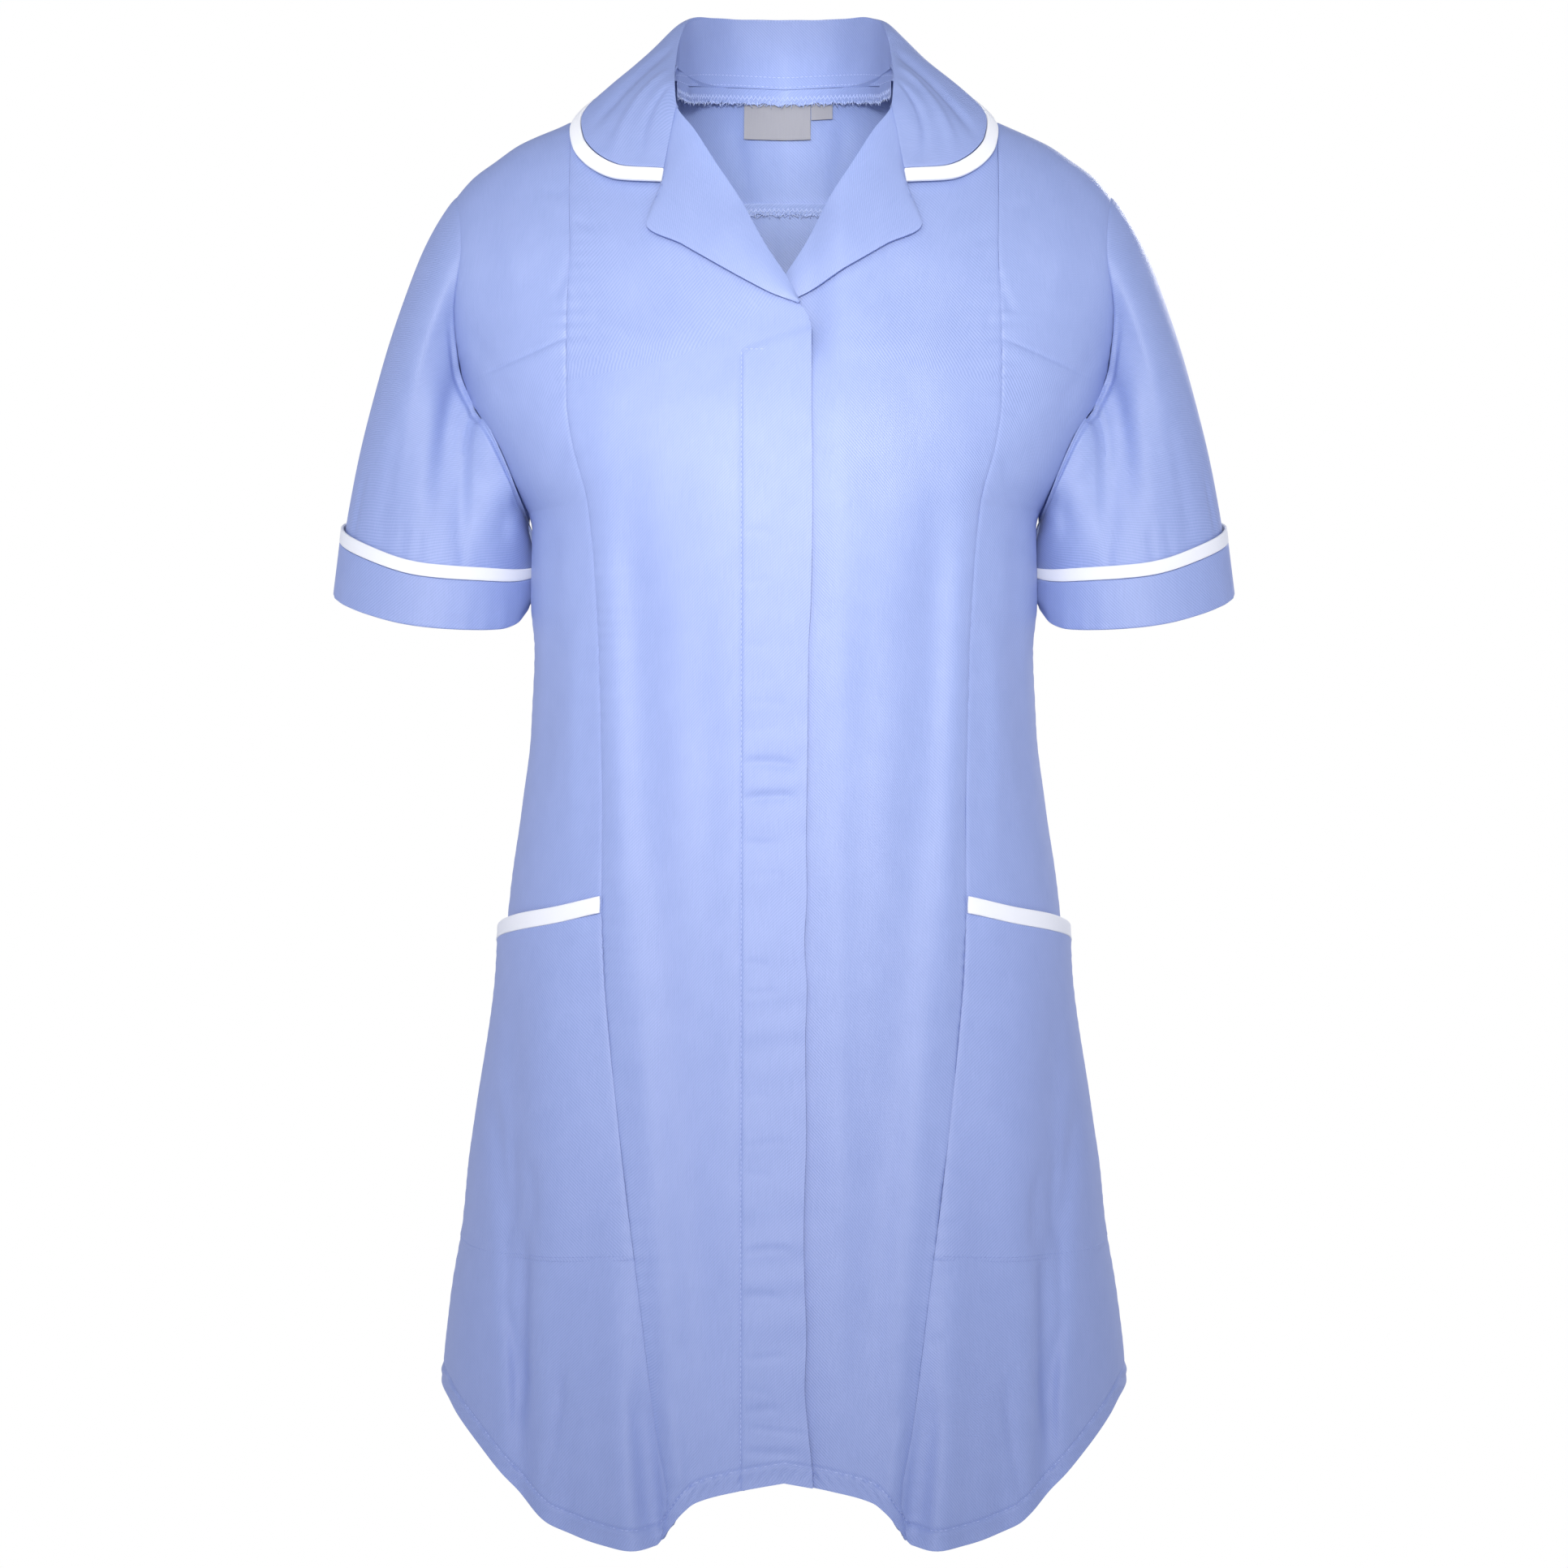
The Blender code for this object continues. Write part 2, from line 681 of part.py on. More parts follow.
def back_yoke():
    """From the yoke seam up to the neck seam and, outside the side neck, the shoulder line."""
    widest = ARMHOLE[-1].across

    def top(across):
        if abs(across) >= SIDE_NECK:
            return shoulder_line(across)
        side = shoulder_line(SIDE_NECK)
        return mix(side - YOKE_NECK_DIP, side, (across / SIDE_NECK) ** 2)

    def skin(lift):
        def point(column, row):
            across = column
            pull = (abs(column) / widest) ** YOKE_INSET_CURVE
            for _ in range(SETTLING_STEPS):
                height = mix(yoke_seam(across) + HALF_SEAM, top(across), 1 - (1 - row) ** YOKE_CURVE)
                inset = (widest - read(ARMHOLE, height)) * pull
                across = column - math.copysign(inset, column)
            return on_form(across, height, BACK, lift)
        return point

    columns = [-across for across in YOKE_ACROSS[:0:-1]] + list(YOKE_ACROSS)
    wall("back_yoke", columns, shares(YOKE_ROWS), skin(0), skin(-CLOTH))


# Reverses

def revers():
    def skin(lift, drop):
        def point(share, along):
            roll_height = mix(REVER_TIP, GORGE_POINT.height, along) + SEAM / 2
            roll_across = roll_line(roll_height) - REVER_OVERHANG
            across = mix(roll_across, read(REVER_EDGE, along, 1), share)
            height = mix(roll_height, read(REVER_EDGE, along, 2), share)
            puff = REVER_PUFF * math.sin(math.pi * share)
            off = mix(REVER_ROLL_LIFT, read(REVER_EDGE, along, 3), share) + puff
            return on_form(across, height, FRONT, off + lift - drop(across, height))
        return point

    for name, drop, turned_over in (("rever_right", no_drop, True), ("rever_left", underlap_drop, False)):
        wall(name, REVER_COLUMNS, REVER_ROWS, skin(0, drop), skin(-CLOTH, drop), turned_over=turned_over)


# Collar

def collar_point(kind, along):
    """The roll edge, neck seam or outer edge, at a place from -1, the right gorge, to 1."""
    first = {"roll": 1, "seam": 4, "edge": 7}[kind]
    across, depth, height = (read(COLLAR, abs(along), first + i) for i in range(3))
    return Vector((math.copysign(across, along), depth, height))


def outwards(along):
    """Level, away from the middle of the neck."""
    roll = collar_point("roll", along)
    return Vector((roll.x, roll.y, 0)).normalized()


def fall_surface(along, share):
    """The collar's turned-down part: over the roll and out to its edge."""
    roll, edge = collar_point("roll", along), collar_point("edge", along)
    out = outwards(along)
    flat = abs(along) ** COLLAR_FLAT_END
    up = Vector((0, 0, 1))
    length = (edge - roll).length
    start = roll - out * COLLAR_INSET * (1 - flat)
    over = roll + (out * COLLAR_ROLL_REACH + up * COLLAR_ROLL_RISE) * (1 - flat)
    over = over + (edge - roll) * COLLAR_FLAT_REACH * flat
    full = edge + (roll - edge) * COLLAR_LOWER_REACH + (up + out) * length * COLLAR_FULLNESS * (1 - flat)
    rest = 1 - share
    return start * rest**3 + over * 3 * rest**2 * share + full * 3 * rest * share**2 + edge * share**3


def collar_inside(thickness):
    def point(along, share):
        held_along = min(max(along, SKIN_STEP - 1), 1 - SKIN_STEP)
        held_share = min(max(share, SKIN_STEP), 1 - SKIN_STEP)
        normal = skin_normal(fall_surface, held_along, held_share, SKIN_STEP, -1)
        return fall_surface(along, share) - normal * thickness
    return point


def trim_share(along):
    length = (collar_point("edge", along) - collar_point("roll", along)).length
    return 1 - COLLAR_TRIM_WIDTH / length


def collar():
    columns = [2 * share - 1 for share in shares(COLLAR_COLUMNS)]
    inside = collar_inside(FACED_CLOTH)

    def fall_at(along, share):
        return share * (trim_share(along) - COLLAR_TRIM_GAP)

    wall(
        "collar_fall",
        columns,
        FALL_ROWS,
        lambda along, share: fall_surface(along, fall_at(along, share)),
        lambda along, share: inside(along, fall_at(along, share)),
    )
    proud = (TRIM_CLOTH - FACED_CLOTH) / 2
    trim_inside = collar_inside(TRIM_CLOTH - proud)
    trim_outside = collar_inside(-proud)
    wall(
        "collar_trim",
        columns,
        (0, 1),
        lambda along, share: trim_outside(along, mix(trim_share(along), 1, share)),
        lambda along, share: trim_inside(along, mix(trim_share(along), 1, share)),
        colour=TRIM_COLOUR,
    )

    def stand(offset):
        def point(along, share):
            foot = collar_point("seam", along) + Vector((0, 0, STAND_FOOT_ROOM))
            top = collar_point("roll", along) - Vector((0, 0, STAND_TOP_ROOM))
            top.z = max(top.z, foot.z + STAND_FOOT_ROOM)
            return foot.lerp(top, share) + outwards(along) * offset
        return point

    stand_columns = [STAND_REACH * (2 * share - 1) for share in shares(STAND_COLUMNS)]
    wall("collar_stand", stand_columns, shares(STAND_ROWS), stand(0), stand(-STAND_CLOTH))


# Sleeves and cuffs

@lru_cache(None)
def armhole_run(face):
    """Points down the armhole with the length up to each of them."""
    top, low = ARMHOLE[-1].height, ARMHOLE[0].height
    run = []
    for share in shares(ARMHOLE_SAMPLES):
        height = mix(top, low, (1 - math.cos(math.pi * share)) / 2)
        point = on_form(side_line(height), height, face)
        length = run[-1][0] + (point - run[-1][1]).length if run else 0.0
        run.append((length, point, height))
    return run


def armhole_point(around):
    """The armhole at a place from its top (0) by the front and the underarm (0.5) to the top again."""
    face = FRONT if around <= 0.5 else BACK
    run = armhole_run(face)
    share = 2 * around if face == FRONT else 2 - 2 * around
    height = read([(length, height) for length, _, height in run], share * run[-1][0])
    across = side_line(height)
    point = on_form(across, height, face)
    if around in (0, 0.5, 1):
        point.y = 0
    return point, form_parts(across, height, face)[1]


def cuff_ring(level, around, lift=0.0):
    """A point of the cuff: around is 0 outside the arm, 0.25 in front and 0.5 next to the body."""
    angle = 2 * math.pi * around
    across, height, wide, deep, slope, dip = (read(CUFF_RINGS, level, i) for i in range(1, 7))
    side = math.cos(angle) * (wide + lift)
    front = math.sin(angle)
    tilt = side * slope - front * dip + CUFF_INNER_RISE * level * max(-math.cos(angle), 0) ** CUFF_INNER_REACH
    return Vector((across + side, -front * (deep + lift), height + tilt))


def sleeve_surface(around, down):
    start, normal = armhole_point(around)
    ahead, behind = (armhole_point((around + step) % 1)[0] for step in (ARMHOLE_STEP, -ARMHOLE_STEP))
    out = (ahead - behind).cross(normal).normalized()
    under_the_arm = abs(around - 0.5) <= UNDER_THE_ARM
    if (out.z if under_the_arm else out.x) < 0:
        out = -out
    angle = 2 * math.pi * around
    low = max(-math.cos(angle), 0) ** 2
    start = start + out * SLEEVE_SEAM + normal * SLEEVE_SEAM * low
    end = cuff_ring(SLEEVE_TUCK, around, -SLEEVE_INSIDE_CUFF)
    top = max(math.cos(angle), 0) ** 2
    middle = math.sin(angle) ** 2
    mid_way = Vector((SLEEVE_MID_WAY.x, -SLEEVE_MID_WAY.y * math.sin(angle), SLEEVE_MID_WAY.z))
    way = (SLEEVE_TOP_WAY * top + mid_way * middle + SLEEVE_LOW_WAY * low).normalized()
    length = (end - start).length
    leave = start + way * length * SLEEVE_START_REACH
    arrive = end - SLEEVE_FALL * length * SLEEVE_END_REACH
    rest = 1 - down
    return start * rest**3 + leave * 3 * rest**2 * down + arrive * 3 * rest * down**2 + end * down**3


def sleeve_inside(around, down):
    held = min(max(down, SKIN_STEP), 1 - SKIN_STEP)
    ahead, behind = (sleeve_surface((around + step) % 1, held) for step in (SKIN_STEP, -SKIN_STEP))
    lower, upper = (sleeve_surface(around, held + step) for step in (SKIN_STEP, -SKIN_STEP))
    inwards = (ahead - behind).cross(lower - upper).normalized()
    cuff_centre = cuff_ring(0, 0).lerp(cuff_ring(0, 0.5), 0.5)
    centre = cuff_centre.lerp(armhole_point(0)[0], (1 - down) / 2)
    if inwards.dot(centre - sleeve_surface(around, down)) < 0:
        inwards = -inwards
    if down == 0:
        away = (lower - upper).normalized()
        inwards = (inwards - away * min(inwards.dot(away), 0)).normalized()
    return sleeve_surface(around, down) + inwards * CLOTH


def sleeves():
    def build(side, turned_over):
        around = shares(SLEEVE_SIDES)
        wall(
            f"sleeve_{side}",
            around,
            SLEEVE_ROWS,
            sleeve_surface,
            sleeve_inside,
            tube=True,
            turned_over=turned_over,
        )
        wall(
            f"cuff_{side}",
            around,
            CUFF_ROWS,
            lambda place, level: cuff_ring(level, place),
            lambda place, level: cuff_ring(level, place, -CUFF_CLOTH),
            tube=True,
            turned_over=turned_over,
        )
        wall(
            f"cuff_trim_{side}",
            around,
            (0, CUFF_TRIM_LEVEL),
            lambda place, level: cuff_ring(level, place),
            lambda place, level: cuff_ring(level, place, -CUFF_TRIM_CLOTH),
            colour=TRIM_COLOUR,
            tube=True,
            turned_over=turned_over,
        )

    both_sides(build)


# Pockets

def side_panel_at(share, height):
    angle = mix(turn(princess_line(height) + SEAM / 2, height), math.pi / 2, share)
    return across_at(angle, height)


def pocket_gap(share, drop):
    """The room between the panel and the pocket's inside, widest at the mouth by the side seam."""
    at_side = POCKET_STAND_OFF * share**POCKET_SIDE_CURVE
    at_middle = POCKET_MIDDLE_STAND_OFF * math.sin(math.pi * share)
    return POCKET_GAP + (at_side + at_middle) * (1 - drop) ** 2


def pockets():
    def bag(thickness):
        def point(share, drop):
            height = mix(read(POCKET, share, 2), read(POCKET, share, 3), drop)
            return on_form(side_panel_at(share, height), height, FRONT, pocket_gap(share, drop) + thickness)
        return point

    def trim(thickness):
        def point(share, drop):
            height = mix(read(POCKET, share, 1), read(POCKET, share, 2) + SEAM, drop)
            return on_form(side_panel_at(share, height), height, FRONT, pocket_gap(share, 0) + thickness)
        return point

    def build(side, turned_over):
        columns = shares(SIDE_COLUMNS)
        wall(f"pocket_{side}", columns, POCKET_ROWS, bag(CLOTH), bag(0), turned_over=turned_over)
        wall(
            f"pocket_trim_{side}",
            columns,
            (0, 1),
            trim(POCKET_TRIM_CLOTH),
            trim(0),
            colour=TRIM_COLOUR,
            turned_over=turned_over,
        )

    both_sides(build)


# Labels

def label(name, size):
    def skin(lift):
        def point(share, drop):
            across = mix(size.left, size.right, share)
            return on_form(across, mix(size.top, size.bottom, drop), BACK, lift)
        return point

    outer = -CLOTH - LABEL_GAP
    wall(name, shares(LABEL_COLUMNS), (0, 1), skin(outer), skin(outer - LABEL_CLOTH), colour=LABEL_COLOUR)


def main():
    clear_scene()
    front_right()
    front_left()
    placket()
    side_fronts()
    back_panel()
    back_yoke()
    revers()
    collar()
    sleeves()
    pockets()
    label("neck_label", NECK_LABEL)
    label("size_label", SIZE_LABEL)


main()
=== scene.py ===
"""The looks of a maternity tunic, filled out as if worn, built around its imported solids.

Metres, +Z up, the front faces -Y. Places are given as across (from the centre line), depth and
height. A half is worked out at +X, the wearer's left, and turned over for the wearer's right.
Each shell keeps close to the form, edges and seams of the solid that it stands for, and adds the
creases, turned edges, sewing and weave.
"""

import itertools
import math
from collections import namedtuple

import bmesh
import bpy
import numpy as np
from mathutils import Matrix, Vector


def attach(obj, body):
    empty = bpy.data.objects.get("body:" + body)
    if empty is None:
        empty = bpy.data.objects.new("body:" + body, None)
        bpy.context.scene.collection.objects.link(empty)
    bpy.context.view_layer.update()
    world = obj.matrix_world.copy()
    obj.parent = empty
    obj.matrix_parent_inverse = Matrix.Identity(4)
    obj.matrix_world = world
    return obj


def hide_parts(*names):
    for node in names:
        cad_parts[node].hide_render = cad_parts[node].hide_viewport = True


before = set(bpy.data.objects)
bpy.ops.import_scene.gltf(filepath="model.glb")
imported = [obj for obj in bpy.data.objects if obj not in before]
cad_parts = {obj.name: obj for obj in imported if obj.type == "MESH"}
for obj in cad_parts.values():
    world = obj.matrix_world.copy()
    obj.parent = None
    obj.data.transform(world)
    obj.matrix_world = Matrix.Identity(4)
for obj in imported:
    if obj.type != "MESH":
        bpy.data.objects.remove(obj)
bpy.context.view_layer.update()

FRONT, BACK = -1, 1
FACE_COLUMN = {FRONT: "front", BACK: "back"}
TURN = 2 * math.pi


def rows_of(kind, *rows):
    """A table whose rows have the kind's named columns."""
    return tuple(kind(*row) for row in rows)


# Cloth
CLOTH = 0.0012
FACED_CLOTH = 0.0020
CUFF_CLOTH = 0.0020
TRIM_CLOTH = 0.0026
CUFF_TRIM_CLOTH = 0.0016
LABEL_CLOTH = 0.0005
PLACKET_CLOTH = 0.0022

# The form: level sections are rounded boxes, closed over towards the shoulder line
ROUNDNESS = 2.4
UNDERARM = -0.256
CLOSING = 3

Section = namedtuple("Section", "height half_width front back")
SECTIONS = rows_of(
    Section,
    (-0.850, 0.2005, 0.1495, 0.1430),
    (-0.800, 0.1995, 0.1480, 0.1400),
    (-0.750, 0.1975, 0.1460, 0.1350),
    (-0.703, 0.1935, 0.1440, 0.1300),
    (-0.656, 0.1859, 0.1405, 0.1250),
    (-0.609, 0.1783, 0.1360, 0.1190),
    (-0.562, 0.1709, 0.1310, 0.1110),
    (-0.514, 0.1634, 0.1275, 0.1050),
    (-0.467, 0.1588, 0.1240, 0.1000),
    (-0.420, 0.1522, 0.1205, 0.0960),
    (-0.373, 0.1466, 0.1190, 0.0955),
    (-0.326, 0.1446, 0.1195, 0.0970),
    (-0.297, 0.1470, 0.1205, 0.0990),
    (-0.256, 0.1463, 0.1215, 0.1020),
    (-0.228, 0.1605, 0.1190, 0.1040),
    (-0.200, 0.1760, 0.1150, 0.1060),
    (-0.165, 0.1900, 0.1060, 0.1070),
    (-0.135, 0.2010, 0.0970, 0.1060),
    (-0.100, 0.2210, 0.0880, 0.1020),
    (-0.060, 0.2500, 0.0760, 0.0930),
    (-0.020, 0.2850, 0.0690, 0.0870),
    (0.120, 0.3300, 0.0660, 0.0840),
)

# The height at which front and back would meet, steep and unused inside the neck
ShoulderPoint = namedtuple("ShoulderPoint", "across height")
SHOULDER_LINE = rows_of(
    ShoulderPoint,
    (0.000, 0.1150),
    (0.020, 0.0850),
    (0.040, 0.0450),
    (0.062, 0.0140),
    (0.085, -0.0005),
    (0.109, -0.0135),
    (0.123, -0.0192),
    (0.152, -0.0322),
    (0.167, -0.0425),
    (0.180, -0.0520),
    (0.190, -0.0630),
)

HemPoint = namedtuple("HemPoint", "across front back")
HEM = rows_of(
    HemPoint,
    (0.0000, -0.7835, -0.8120),
    (0.0247, -0.7880, -0.8120),
    (0.0480, -0.7944, -0.8120),
    (0.0555, -0.8002, -0.8118),
    (0.0635, -0.8108, -0.8115),
    (0.0696, -0.8183, -0.8110),
    (0.0830, -0.8202, -0.8100),
    (0.0980, -0.8190, -0.8080),
    (0.1137, -0.8158, -0.8050),
    (0.1283, -0.8108, -0.8000),
    (0.1465, -0.7952, -0.7900),
    (0.1660, -0.7760, -0.7750),
    (0.1840, -0.7585, -0.7585),
    (0.1900, -0.7513, -0.7520),
    (0.1972, -0.7462, -0.7462),
)

# Lines on the form, as the distance from the centre line at each height
LinePoint = namedtuple("LinePoint", "height across")
PRINCESS_SEAM = rows_of(
    LinePoint,
    (-0.818, 0.0670),
    (-0.793, 0.0640),
    (-0.757, 0.0701),
    (-0.685, 0.0790),
    (-0.597, 0.0905),
    (-0.508, 0.0995),
    (-0.464, 0.1010),
    (-0.374, 0.1020),
    (-0.285, 0.1060),
    (-0.249, 0.1095),
    (-0.213, 0.1185),
    (-0.190, 0.1215),
    (-0.148, 0.1220),
    (-0.101, 0.1210),
    (-0.074, 0.1220),
    (-0.020, 0.1230),
)
ARMHOLE = rows_of(
    LinePoint,
    (-0.256, 0.1463),
    (-0.248, 0.1482),
    (-0.228, 0.1555),
    (-0.205, 0.1660),
    (-0.182, 0.1806),
    (-0.165, 0.1863),
    (-0.135, 0.1890),
    (-0.100, 0.1850),
    (-0.075, 0.1875),
    (-0.063, 0.1900),
)
BREAK_POINT = LinePoint(-0.1506, -0.0153)
GORGE_POINT = LinePoint(-0.0170, 0.0616)
ROLL_AND_NECK = rows_of(
    LinePoint,
    BREAK_POINT,
    (-0.1430, -0.0131),
    (-0.1365, -0.0086),
    (-0.1232, -0.0018),
    (-0.1017, 0.0118),
    (-0.0752, 0.0255),
    (-0.0527, 0.0394),
    (-0.0326, 0.0512),
    GORGE_POINT,
    (-0.0080, 0.0632),
    (0.0000, 0.0640),
    (0.0080, 0.0636),
    (0.0140, 0.0620),
)

# The folded edge of the wearer's right front, which wanders a little on its way down
FRONT_EDGE = rows_of(
    LinePoint,
    (-0.8000, -0.0150),
    (-0.7853, -0.0156),
    (-0.7585, -0.0134),
    (-0.7317, -0.0112),
    (-0.7050, -0.0121),
    (-0.6782, -0.0112),
    (-0.6514, -0.0107),
    (-0.6246, -0.0112),
    (-0.5978, -0.0121),
    (-0.5442, -0.0116),
    (-0.5174, -0.0125),
    (-0.4906, -0.0112),
    (-0.4639, -0.0125),
    (-0.4371, -0.0121),
    (-0.3835, -0.0129),
    (-0.3299, -0.0134),
    (-0.3031, -0.0147),
    (-0.2496, -0.0156),
    (-0.2228, -0.0156),
    (-0.1960, -0.0152),
    (-0.1506, -0.0153),
)
LEFT_FRONT_EDGE = -0.0150
PLACKET_STITCH = 0.0235
PLACKET_TOP = -0.1638

# Largest folds: a ridge has a positive lift and a trough a negative one
Fold = namedtuple("Fold", "top across_top low across_low spread lift_top lift_low")
FRONT_FOLDS = rows_of(
    Fold,
    (-0.190, 0.1060, -0.840, 0.0560, 0.0110, 0.0020, 0.0035),
    (-0.240, 0.0860, -0.760, 0.0420, 0.0150, -0.0025, -0.0020),
    (-0.560, 0.0980, -0.900, 0.0800, 0.0120, 0.0000, 0.0110),
    (-0.620, 0.0800, -0.900, 0.0640, 0.0070, 0.0000, -0.0060),
    (-0.500, 0.1520, -0.860, 0.1430, 0.0080, -0.0050, -0.0090),
    (-0.640, 0.1240, -0.900, 0.1180, 0.0090, 0.0000, -0.0060),
    (-0.480, 0.1300, -0.700, 0.1280, 0.0140, 0.0030, 0.0040),
)
BACK_FOLDS = rows_of(
    Fold,
    (-0.070, 0.0120, -0.560, 0.0160, 0.0070, -0.0035, -0.0015),
    (-0.090, 0.0620, -0.900, 0.0520, 0.0130, -0.0030, -0.0070),
    (-0.300, 0.0900, -0.900, 0.0860, 0.0150, 0.0010, 0.0080),
    (-0.430, 0.1290, -0.900, 0.1270, 0.0110, -0.0020, -0.0090),
    (-0.520, 0.0240, -0.900, 0.0220, 0.0140, 0.0010, 0.0060),
)
FOLD_RUN_OUT = 0.060

# Small creases, each from a start to an end, bowed sideways and run out at both ends
Crease = namedtuple("Crease", "across height to_across to_height bow spread lift")
SIDE_FRONT_CREASES = rows_of(
    Crease,
    (0.1627, -0.580, 0.1545, -0.700, 0.002, 0.0046, -0.0026),
    (0.1560, -0.690, 0.1481, -0.768, 0.003, 0.0040, -0.0028),
    (0.1515, -0.600, 0.1521, -0.652, 0.001, 0.0036, -0.0016),
    (0.1442, -0.655, 0.1452, -0.746, -0.001, 0.0038, -0.0023),
    (0.1394, -0.612, 0.1396, -0.652, 0.001, 0.0030, -0.0013),
    (0.1225, -0.724, 0.1330, -0.796, 0.002, 0.0026, -0.0019),
    (0.0815, -0.730, 0.0735, -0.812, 0.001, 0.0065, -0.0024),
    (0.1184, -0.762, 0.0900, -0.750, 0.002, 0.0026, -0.0006),
    (0.0900, -0.603, 0.1000, -0.606, 0.000, 0.0016, -0.0007),
    (0.0890, -0.613, 0.0985, -0.617, 0.001, 0.0016, -0.0008),
    (0.0870, -0.637, 0.0990, -0.634, 0.000, 0.0018, -0.0007),
    (0.0850, -0.662, 0.0960, -0.660, 0.001, 0.0018, -0.0007),
    (0.0790, -0.700, 0.0900, -0.695, 0.001, 0.0020, -0.0006),
    (0.1221, -0.1833, 0.1340, -0.1875, 0.001, 0.0024, -0.0007),
    (0.1220, -0.0655, 0.1400, -0.0650, 0.002, 0.0022, -0.0006),
    (0.1212, -0.1062, 0.1295, -0.1300, 0.002, 0.0026, -0.0008),
    (0.1225, -0.2150, 0.1330, -0.2350, 0.002, 0.0030, -0.0007),
    (0.1320, -0.2400, 0.1400, -0.4200, 0.004, 0.0060, -0.0010),
    (0.1150, -0.3000, 0.1180, -0.4400, -0.002, 0.0055, 0.0008),
    (0.1700, -0.0800, 0.1500, -0.1250, 0.004, 0.0060, 0.0007),
    (0.1820, -0.1450, 0.1560, -0.1900, 0.003, 0.0050, -0.0007),
)
FRONT_CREASES = rows_of(
    Crease,
    (0.0990, -0.2500, 0.0900, -0.5600, 0.002, 0.0060, 0.0009),
    (0.0830, -0.2300, 0.0800, -0.4600, -0.002, 0.0080, -0.0010),
    (0.0660, -0.3200, 0.0640, -0.5200, 0.003, 0.0100, 0.0008),
    (0.0480, -0.2600, 0.0420, -0.6500, 0.003, 0.0090, -0.0009),
    (0.0700, -0.5600, 0.0560, -0.7400, 0.002, 0.0080, 0.0010),
    (0.1210, -0.0850, 0.1080, -0.0900, 0.001, 0.0022, -0.0006),
    (0.1215, -0.1180, 0.1130, -0.1400, 0.001, 0.0026, -0.0006),
    (0.0640, -0.7400, 0.0560, -0.7900, 0.001, 0.0040, 0.0012),
)

# The placket's dips, from its front edge's side to its stitch line's, tilted and bowed by turns
PlacketDip = namedtuple("PlacketDip", "height to_across spread lift")
PLACKET_DIPS = rows_of(
    PlacketDip,
    (-0.2268, 0.0080, 0.0019, -0.00019),
    (-0.2482, 0.0030, 0.0019, -0.00018),
    (-0.2656, 0.0060, 0.0020, -0.00022),
    (-0.2946, 0.0060, 0.0020, -0.00024),
    (-0.3264, 0.0080, 0.0019, -0.00018),
    (-0.3487, 0.0040, 0.0019, -0.00018),
    (-0.3594, -0.0020, 0.0020, -0.00021),
    (-0.3755, 0.0040, 0.0020, -0.00021),
    (-0.3924, -0.0080, 0.0026, -0.00075),
    (-0.4125, -0.0060, 0.0026, -0.00086),
    (-0.4362, 0.0020, 0.0023, -0.00046),
    (-0.4563, 0.0000, 0.0020, -0.00021),
    (-0.5018, 0.0080, 0.0020, -0.00027),
    (-0.5188, 0.0020, 0.0022, -0.00044),
    (-0.5755, 0.0060, 0.0019, -0.00018),
    (-0.6023, -0.0040, 0.0020, -0.00023),
    (-0.6161, 0.0060, 0.0021, -0.00030),
    (-0.6594, -0.0040, 0.0023, -0.00051),
    (-0.6826, 0.0020, 0.0022, -0.00038),
    (-0.7170, 0.0000, 0.0022, -0.00042),
    (-0.7340, 0.0080, 0.0020, -0.00021),
    (-0.7456, 0.0020, 0.0022, -0.00041),
    (-0.7666, -0.0100, 0.0026, -0.00066),
)
PLACKET_DIP_START = 0.0225
PLACKET_DIP_TILTS = (-0.0022, 0.0016, -0.0009, 0.0024)
PLACKET_DIP_BOWS = (0.0008, -0.0005, 0.0012)
PLACKET_CREASES = [
    Crease(
        PLACKET_DIP_START, dip.height, dip.to_across, round(dip.height + tilt, 4), bow, dip.spread, dip.lift
    )
    for dip, tilt, bow in zip(
        PLACKET_DIPS, itertools.cycle(PLACKET_DIP_TILTS), itertools.cycle(PLACKET_DIP_BOWS)
    )
]
PLACKET_CREASES.append(Crease(0.0190, -0.7536, -0.0141, -0.7576, 0.0000, 0.0010, -0.00050))

